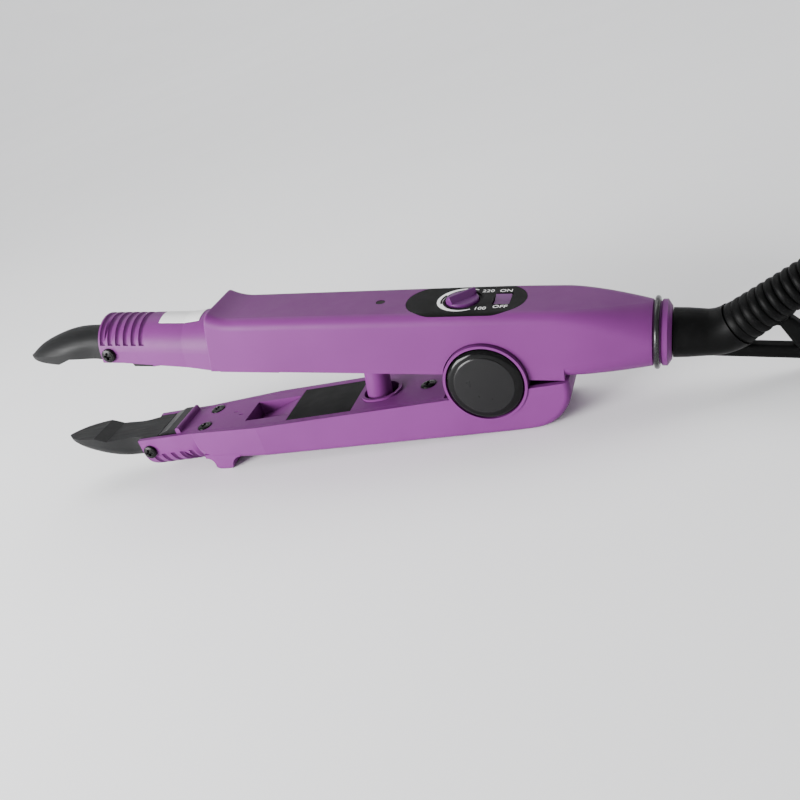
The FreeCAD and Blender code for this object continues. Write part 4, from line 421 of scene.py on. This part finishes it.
def calc(tree, operation, *sources):
    return treeNode(tree, "ShaderNodeMath", *sources, operation=operation)


def endTree(tree, shape, finish, out):
    shape = treeNode(tree, "GeometryNodeRealizeInstances", shape)
    shape = treeNode(tree, "GeometryNodeSetShadeSmooth", shape)
    shape = treeNode(tree, "GeometryNodeSetMaterial", shape, Material=finish)
    tree.links.new(shape, out.inputs[0])


def grown(name, tree, values, points=()):
    # a piece made by the node tree, with its values set by name, as a plain mesh
    mesh = bpy.data.meshes.new(name)
    mesh.from_pydata([place for place, facing in points] or [(0, 0, 0)], [], [])
    if points:
        facings = mesh.attributes.new("facing", "FLOAT_VECTOR", "POINT")
        for index, (place, facing) in enumerate(points):
            facings.data[index].vector = facing
    piece = bpy.data.objects.new(name, mesh)
    bpy.context.scene.collection.objects.link(piece)
    modifier = piece.modifiers.new("build", "NODES")
    modifier.node_group = tree
    for item in tree.interface.items_tree:
        if item.in_out == "INPUT" and item.name in values:
            modifier[item.identifier] = values[item.name]
    return finished(piece)


# ribbed sleeve at the lead's way out: wide rounded bands with narrow grooves

sleeve = {
    "base": (131.730, -0.609, 18.378),
    "tip": (169.515, -6.456, 40.153),
    "baseRadius": 6.5,
    "tipRadius": 4.9,
    "ribs": 17,
    "stepsPerRib": 20,
    "sides": 72,
    "grooveDepth": 1.15,
    "firstDepth": 0.35,
    "depthGain": 0.16,
    "bandShape": 0.38,
}


def makeSleeve(facts):
    tree, given, out = newTree("ribbedSleeve", [
        ("Length", "Float"), ("Base Radius", "Float"), ("Tip Radius", "Float"), ("Ribs", "Float"),
        ("Groove Depth", "Float"), ("First Depth", "Float"), ("Depth Gain", "Float"),
        ("Band Shape", "Float")])
    take = given.outputs
    end = treeNode(tree, "ShaderNodeCombineXYZ", Z=take["Length"])
    line = treeNode(tree, "GeometryNodeCurvePrimitiveLine", End=end)
    line = treeNode(tree, "GeometryNodeResampleCurve", line, Count=facts["ribs"] * facts["stepsPerRib"] + 1)
    along = treeNode(tree, "GeometryNodeSplineParameter")
    ribs = calc(tree, "MULTIPLY", along, take["Ribs"])
    wave = calc(tree, "SINE", calc(tree, "MULTIPLY", calc(tree, "FRACT", ribs), math.pi))
    band = calc(tree, "POWER", calc(tree, "MAXIMUM", wave, 0.0), take["Band Shape"])
    gain = calc(tree, "MULTIPLY", calc(tree, "FLOOR", ribs), take["Depth Gain"])
    share = calc(tree, "MINIMUM", calc(tree, "ADD", gain, take["First Depth"]), 1.0)
    depth = calc(tree, "MULTIPLY", calc(tree, "MULTIPLY", take["Groove Depth"], share),
                 calc(tree, "SUBTRACT", 1.0, band))
    taper = calc(tree, "MULTIPLY", calc(tree, "SUBTRACT", take["Tip Radius"], take["Base Radius"]), along)
    radius = calc(tree, "SUBTRACT", calc(tree, "ADD", take["Base Radius"], taper), depth)
    ring = treeNode(tree, "GeometryNodeCurvePrimitiveCircle", Resolution=facts["sides"], Radius=1.0)
    tube = treeNode(tree, "GeometryNodeCurveToMesh", line, ring, Scale=radius, Fill_Caps=True)
    endTree(tree, tube, rubber, out)
    base = Vector(facts["base"]) * mm
    way = Vector(facts["tip"]) * mm - base
    piece = grown("ribbedSleeve", tree, {
        "Length": way.length,
        "Base Radius": facts["baseRadius"] * mm,
        "Tip Radius": facts["tipRadius"] * mm,
        "Ribs": float(facts["ribs"]),
        "Groove Depth": facts["grooveDepth"] * mm,
        "First Depth": facts["firstDepth"],
        "Depth Gain": facts["depthGain"],
        "Band Shape": facts["bandShape"],
    })
    moveMesh(piece, Matrix.Translation(base) @ way.to_track_quat("Z", "Y").to_matrix().to_4x4())
    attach(piece, "lead")
    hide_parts("ribbed_sleeve")
    return piece


sleevePiece = makeSleeve(sleeve)
print("sleeve made")


# pan head screws with a cross recess, one mesh for each arm

screw = {
    "headRadius": 2.5,
    "headRise": 1.5,
    "edgeDrop": 0.5,
    "shankRadius": 1.2,
    "shankLength": 8.0,
    "recessReach": 1.45,
    "recessHalf": 0.34,
    "recessDepth": 0.85,
    "recessWiden": 1.25,
    "recessTaper": 0.4,
    "recessWall": 0.14,
    "recessEnd": 0.25,
    "brimDrop": 0.2,
    "domeShare": 0.97,
    "domeSteps": 26,
    "sides": 80,
    # place under the head and the way that it faces, in the arm's frame
    "upper": [((-132, 9.8, 7.6), (0, 1, 0)), ((-132, -9.8, 7.6), (0, -1, 0)),
              ((-84, 5.7, 3.45), (0, 0, -1)), ((-84, -5.7, 3.45), (0, 0, -1)),
              ((-23.2, 0, 3.45), (0, 0, -1))],
    "lower": [((-132, 9.8, -8.6), (0, 1, 0)), ((-132, -9.8, -8.6), (0, -1, 0)),
              ((-108.2, 5.7, -4.55), (0, 0, 1)), ((-108.2, -5.7, -4.55), (0, 0, 1)),
              ((-23.2, 0, -4.55), (0, 0, 1))],
}


def stepUp(value, start, end):
    share = min(1.0, max(0.0, (value - start) / (end - start)))
    return share * share * (3 - 2 * share)


def screwHeight(x, y, facts):
    # height of the head's top there, less the cross recess
    reach = math.hypot(x, y)
    top = facts["headRise"] - facts["edgeDrop"] * (reach / facts["headRadius"]) ** 2
    taper = facts["recessTaper"] * reach / facts["recessReach"]
    width = facts["recessHalf"] * (facts["recessWiden"] - taper)
    inside = 1.0 - stepUp(min(abs(x), abs(y)), width, width + facts["recessWall"])
    inside *= 1.0 - stepUp(reach, facts["recessReach"] - facts["recessEnd"], facts["recessReach"])
    return top - facts["recessDepth"] * inside


def makeScrewShape(facts):
    head, shank, length = facts["headRadius"], facts["shankRadius"], facts["shankLength"]
    brim = facts["headRise"] - facts["edgeDrop"] - facts["brimDrop"]

    def dome(x, y):
        return screwHeight(x, y, facts)

    steps = facts["domeSteps"]
    profile = [(head * facts["domeShare"] * step / steps, dome) for step in range(steps + 1)]
    profile += [(head, brim), (head, 0.0), (shank, 0.0), (shank, -length), (0.0, -length)]
    shape = bmesh.new()
    lathe(shape, profile, facts["sides"])
    bmesh.ops.scale(shape, vec=(mm, mm, mm), verts=shape.verts)
    return pieceFrom(shape, "screwShape")


def makeScrews(facts):
    tree, given, out = newTree("screwSet", [("Screw", "Object")])
    model = tree.nodes.new("GeometryNodeObjectInfo")
    tree.links.new(given.outputs["Screw"], model.inputs["Object"])
    facing = treeNode(tree, "GeometryNodeInputNamedAttribute", data_type="FLOAT_VECTOR", Name="facing")
    turn = treeNode(tree, "FunctionNodeAlignRotationToVector", axis="Z", Vector=facing)
    placed = treeNode(tree, "GeometryNodeInstanceOnPoints", Points=given.outputs["Geometry"],
                      Instance=model.outputs["Geometry"], Rotation=turn)
    endTree(tree, placed, screwSteel, out)
    model = makeScrewShape(facts)
    for body, armFrame, covered in (("upper", upperFrame, ("upper_jaw_screws", "upper_cover_screws")),
                                    ("lower", lowerFrame, ("lower_jaw_screws", "lower_cover_screws"))):
        points = [([v * mm for v in place], facing) for place, facing in facts[body]]
        piece = grown(body + "Screws", tree, {"Screw": model}, points)
        moveMesh(piece, armFrame)
        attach(piece, body + "_arm")
        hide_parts(*covered)
    drop(model)


makeScrews(screw)
print("screws made")


# wound return spring in the post

spring = {
    "place": (-39.3, 0.0, -20.36),
    "length": 30.86,
    "radius": 2.4,
    "wire": 0.9,
    "turns": 15.0,
    "stepsPerTurn": 28,
    "sides": 12,
    "pressedTo": 0.74,
}


def makeSpring(facts):
    tree, given, out = newTree("woundSpring", [("Turns", "Float"), ("Radius", "Float"), ("Length", "Float"),
                                              ("Wire", "Float")])
    take = given.outputs
    spiral = treeNode(tree, "GeometryNodeCurveSpiral", Resolution=facts["stepsPerTurn"],
                      Rotations=take["Turns"], Start_Radius=take["Radius"], End_Radius=take["Radius"],
                      Height=take["Length"])
    half = calc(tree, "MULTIPLY", take["Wire"], 0.5)
    ring = treeNode(tree, "GeometryNodeCurvePrimitiveCircle", Resolution=facts["sides"], Radius=half)
    coil = treeNode(tree, "GeometryNodeCurveToMesh", spiral, ring, Fill_Caps=True)
    endTree(tree, coil, brightSteel, out)
    wire = facts["wire"] * mm
    piece = grown("returnSpring", tree, {"Turns": facts["turns"], "Radius": facts["radius"] * mm,
                                         "Length": facts["length"] * mm - wire, "Wire": wire})
    x, y, z = facts["place"]
    moveMesh(piece, upperFrame @ Matrix.Translation((x * mm, y * mm, z * mm + wire / 2)))
    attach(piece, "upper_arm")
    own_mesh(piece)
    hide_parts("return_spring")


makeSpring(spring)
print("spring made")


# print on the control panel: the dial's scale, and plain numbers and words

panelPrint = {
    "dial": (-7.25, -0.1),
    "arcOuter": 7.85,
    "arcStart": 60.0,
    "arcEnd": 300.0,
    "arcThin": 0.35,
    "arcThick": 1.75,
    "arcSwell": 1.6,
    "arcSteps": 96,
    "proud": 0.04,
    "textHeight": 1.8,
    # words, and the middle of each in the upper arm's frame
    "words": [("100", (-0.3, -6.35)), ("OFF", (5.4, -5.45)), ("ON", (5.35, 5.5)), ("220", (-0.2, 5.6))],
}


def makeArc(facts):
    shape = bmesh.new()
    steps = facts["arcSteps"]
    rows = []
    for step in range(steps + 1):
        angle = math.radians(facts["arcStart"] + (facts["arcEnd"] - facts["arcStart"]) * step / steps)
        swell = max(0.0, math.sin(math.pi * step / steps)) ** facts["arcSwell"]
        inner = facts["arcOuter"] - facts["arcThin"] - (facts["arcThick"] - facts["arcThin"]) * swell
        rows.append([shape.verts.new((facts["dial"][0] + radius * math.cos(angle),
                                      facts["dial"][1] + radius * math.sin(angle), 0))
                     for radius in (inner, (inner + facts["arcOuter"]) / 2, facts["arcOuter"])])
    for first, second in zip(rows, rows[1:]):
        for side in range(2):
            shape.faces.new((first[side], first[side + 1], second[side + 1], second[side]))
    return pieceFrom(shape, "scaleArc")


def makeWord(word, middle, height):
    curve = bpy.data.curves.new("word" + word, "FONT")
    curve.body = word
    curve.resolution_u = 4
    text = bpy.data.objects.new("word" + word, curve)
    bpy.context.scene.collection.objects.link(text)
    bpy.context.view_layer.update()
    graph = bpy.context.evaluated_depsgraph_get()
    mesh = bpy.data.meshes.new_from_object(text.evaluated_get(graph), depsgraph=graph)
    drop(text)
    low = Vector([min(v.co[axis] for v in mesh.vertices) for axis in range(3)])
    high = Vector([max(v.co[axis] for v in mesh.vertices) for axis in range(3)])
    size = height / (high.y - low.y)
    centre = (low + high) / 2
    mesh.transform(Matrix.Translation((middle[0], middle[1], 0)) @ Matrix.Scale(size, 4)
                   @ Matrix.Translation((-centre.x, -centre.y, -low.z)))
    return mesh


def onPanel(surface, point, proud):
    # the point of the upper arm's frame, dropped on the panel and lifted by proud
    rayStart = 40.0
    down = upperFrame.to_3x3() @ Vector((0, 0, -1))
    above = upperFrame @ (Vector((point.x, point.y, rayStart)) * mm)
    return surface.ray_cast(above, down)[0] - down * proud * mm


def makePrint(facts):
    weldReach = 0.0005
    arc = makeArc(facts)
    meshes = [arc.data] + [makeWord(word, middle, facts["textHeight"]) for word, middle in facts["words"]]
    shape = bmesh.new()
    for mesh in meshes:
        shape.from_mesh(mesh)
    drop(arc)
    bmesh.ops.remove_doubles(shape, verts=shape.verts, dist=weldReach)
    bmesh.ops.triangulate(shape, faces=shape.faces)
    panel = nodes["control_panel"].data
    surface = BVHTree.FromPolygons([vert.co[:] for vert in panel.vertices],
                                   [face.vertices[:] for face in panel.polygons])
    # the flat sheet gets a raised copy and sides; extruding it would change the order of faces each run
    sheet = list(shape.faces)
    rim = [edge for edge in shape.edges if edge.is_boundary]
    raised = {vert: shape.verts.new(vert.co) for vert in list(shape.verts)}
    for face in sheet:
        shape.faces.new([raised[vert] for vert in face.verts])
    for edge in rim:
        start, end = edge.verts
        shape.faces.new((start, end, raised[end], raised[start]))
    for lower, upper in raised.items():
        lower.co = onPanel(surface, lower.co, -facts["proud"])
        upper.co = onPanel(surface, upper.co, facts["proud"])
    piece = pieceFrom(shape, "panelPrint")
    piece.data.shade_flat()
    dress(piece, inkWhite)
    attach(piece, "upper_arm")


makePrint(panelPrint)
print("panel print made")


# tie round the hank's waist: one strap that ends on top of itself

tie = {
    "x": 281.0,
    "width": 10.0,
    "thick": 1.0,
    "room": 4.15,
    "overlap": 15.0,
    "edge": 0.35,
    "cornerSteps": 8,
    "step": 1.2,
    "climbSteps": 10,
    "lapGap": 0.05,
    "seam": 12.0,
    "seamPull": 0.4,
    # side and height of the runs that it goes round, anticlockwise from the near lower one
    "corners": [(-7.255, 8.12), (24.685, 5.35), (24.685, 47.95), (-0.855, 45.18), (-7.255, 38.08)],
}


def strapPath(facts):
    # points and outward ways round the corners, from the middle of the top
    corners = [Vector((y, z)) for y, z in facts["corners"]]
    count = len(corners)
    stations = []
    for index, corner in enumerate(corners):
        before = (corner - corners[index - 1]).normalized()
        after = (corners[(index + 1) % count] - corner).normalized()
        first = math.atan2(-before.x, before.y)
        last = math.atan2(-after.x, after.y)
        swing = (last - first) % (2 * math.pi)
        for step in range(facts["cornerSteps"] + 1):
            angle = first + swing * step / facts["cornerSteps"]
            out = Vector((math.cos(angle), math.sin(angle)))
            stations.append((corner + out * facts["room"], out))
    dense = []
    for (p, out), (q, other) in zip(stations, stations[1:] + stations[:1]):
        steps = max(1, round((q - p).length / facts["step"]))
        for step in range(steps):
            share = step / steps
            dense.append((p.lerp(q, share), out.lerp(other, share).normalized()))
    # the strap's end lies high up and near the seam's side
    heights = [place.y - facts["seamPull"] * abs(place.x - facts["seam"]) for place, out in dense]
    start = heights.index(max(heights))
    return dense[start:] + dense[:start]


def makeTie(facts):
    path = strapPath(facts)
    extra = []
    gone = 0.0
    for first, second in zip(path, path[1:]):
        extra.append(first)
        gone += (second[0] - first[0]).length
        if gone > facts["overlap"]:
            break
    half = facts["width"] / 2
    inner = half - facts["edge"]
    thick = facts["thick"]
    low, high = thick * 0.25, thick * 0.75
    outline = [(-half, low), (-half, high), (-inner, thick), (0, thick), (inner, thick),
               (half, high), (half, low), (inner, 0), (0, 0), (-inner, 0)]
    shape = bmesh.new()
    rows = []
    total = len(path)
    for index, (place, out) in enumerate(path + extra):
        climb = stepUp(index, total - facts["climbSteps"], total - 1) * (thick + facts["lapGap"])
        rows.append([shape.verts.new((facts["x"] + x, place.x + out.x * (rise + climb),
                                      place.y + out.y * (rise + climb))) for x, rise in outline])
    skinRings(shape, rows)
    shape.faces.new(rows[0])
    shape.faces.new(rows[-1])
    bmesh.ops.scale(shape, vec=(mm, mm, mm), verts=shape.verts)
    piece = pieceFrom(shape, "cordTie")
    dress(piece, tieStrap)
    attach(piece, "lead")
    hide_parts("cord_tie")
    return piece


tiePiece = makeTie(tie)
print("tie made")


# power lead: one spline through the sleeve's mouth, over to the tied hank and on to the plug

lead = {
    "radius": 3.25,
    "mouth": (168.7, -6.33, 39.66),
    "toHank": [(181.54, -8.32, 47.08), (214.0, -10.6, 57.2), (246.0, -10.9, 56.2), (276.0, -10.8, 51.2),
               (295.0, -10.3, 45.9)],
    "toPlug": [(229.5, 27.27, 3.3), (220.99, 27.27, 5.21), (211.0, 27.27, 5.65)],
    "hankX": 281.0,
    "hankY": 10.315,
    "floor": 3.3,
    "half": 19.7,
    "pitch": 7.32,
    "run": 70.0,
    "draw": 3.5,
    "layer": 7.1,
    "lift": 2.05,
    "firstStep": 0.75,
    "steps": 6,
    "stepEase": 0.125,
    "firstTurn": -0.15,
    "lastTurn": 6.375,
    "runEnd": 0.93,
    "waist": 0.5,
    "length": 1.844,
}


def hankHalf(turn, hank):
    # half width of the loop after so many turns, in and out by turns, and the layer that it lies in
    ease = hank["stepEase"]
    half = hank["half"] - hank["pitch"] * turn
    layer = 0.0
    for index in range(hank["steps"]):
        way = -1 if index % 2 == 0 else 1
        late = turn - hank["firstStep"] - index
        if late > ease:
            half -= 2 * way * hank["pitch"] * late
            layer += 1
        elif late > -ease:
            share = (late + ease) / (2 * ease)
            half -= way * hank["pitch"] * ((ease - abs(late)) ** 2 / (2 * ease) + 2 * max(0.0, late))
            layer += share ** 2 * (3 - 2 * share)
    return half, layer


def hankPoints(hank):
    # ten control points a half loop: six along the run, then four round the end
    run = hank["run"] / 2
    endHalf = math.pi / 8  # half the angle between two of the points round an end
    points = []
    for halfLoop in range(-1, round(2 * hank["lastTurn"]) + 1):
        side = 1 if halfLoop % 2 == 0 else -1
        for index in range(10):
            at = hank["runEnd"] * (1 - 0.4 * index)
            bend = endHalf * (2 * (index - 6) + 1)
            turn = halfLoop / 2 + (0.25 - 0.125 * at if index < 6 else 0.375 + bend / (4 * math.pi))
            if turn < hank["firstTurn"] or turn > hank["lastTurn"]:
                continue
            half, layer = hankHalf(turn, hank)
            z = hank["floor"] + hank["layer"] * (hank["steps"] - layer)
            if index < 6:
                waist = max(0.0, 1 - abs(at) / hank["waist"])
                y = side * (half - hank["draw"] * waist)
                points.append((side * at * run, y, z + hank["lift"] * waist))
            else:
                reach = half / math.cos(endHalf)
                points.append((-side * (run + reach * math.sin(bend)), side * reach * math.cos(bend), z))
    return [(hank["hankX"] + x, hank["hankY"] + y, z) for x, y, z in points]


def makeLead(facts):
    route = [facts["mouth"], *facts["toHank"], *hankPoints(facts), *facts["toPlug"]]
    curve = bpy.data.curves.new("powerLead", "CURVE")
    curve.dimensions = "3D"
    spline = curve.splines.new("NURBS")
    spline.points.add(len(route) - 1)
    for point, place in zip(spline.points, route):
        point.co = (*(Vector(place) * mm), 1.0)
    spline.order_u = 3
    spline.use_endpoint_u = True
    spline.resolution_u = 5
    curve.bevel_depth = facts["radius"] * mm
    curve.bevel_resolution = 5
    curve.use_fill_caps = True
    curve.materials.append(leadJacket)
    piece = bpy.data.objects.new("powerLead", curve)
    bpy.context.scene.collection.objects.link(piece)
    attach(piece, "lead")
    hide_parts("cord_lead", "cord_hank", "cord_tail")


makeLead(lead)
print("lead laid")
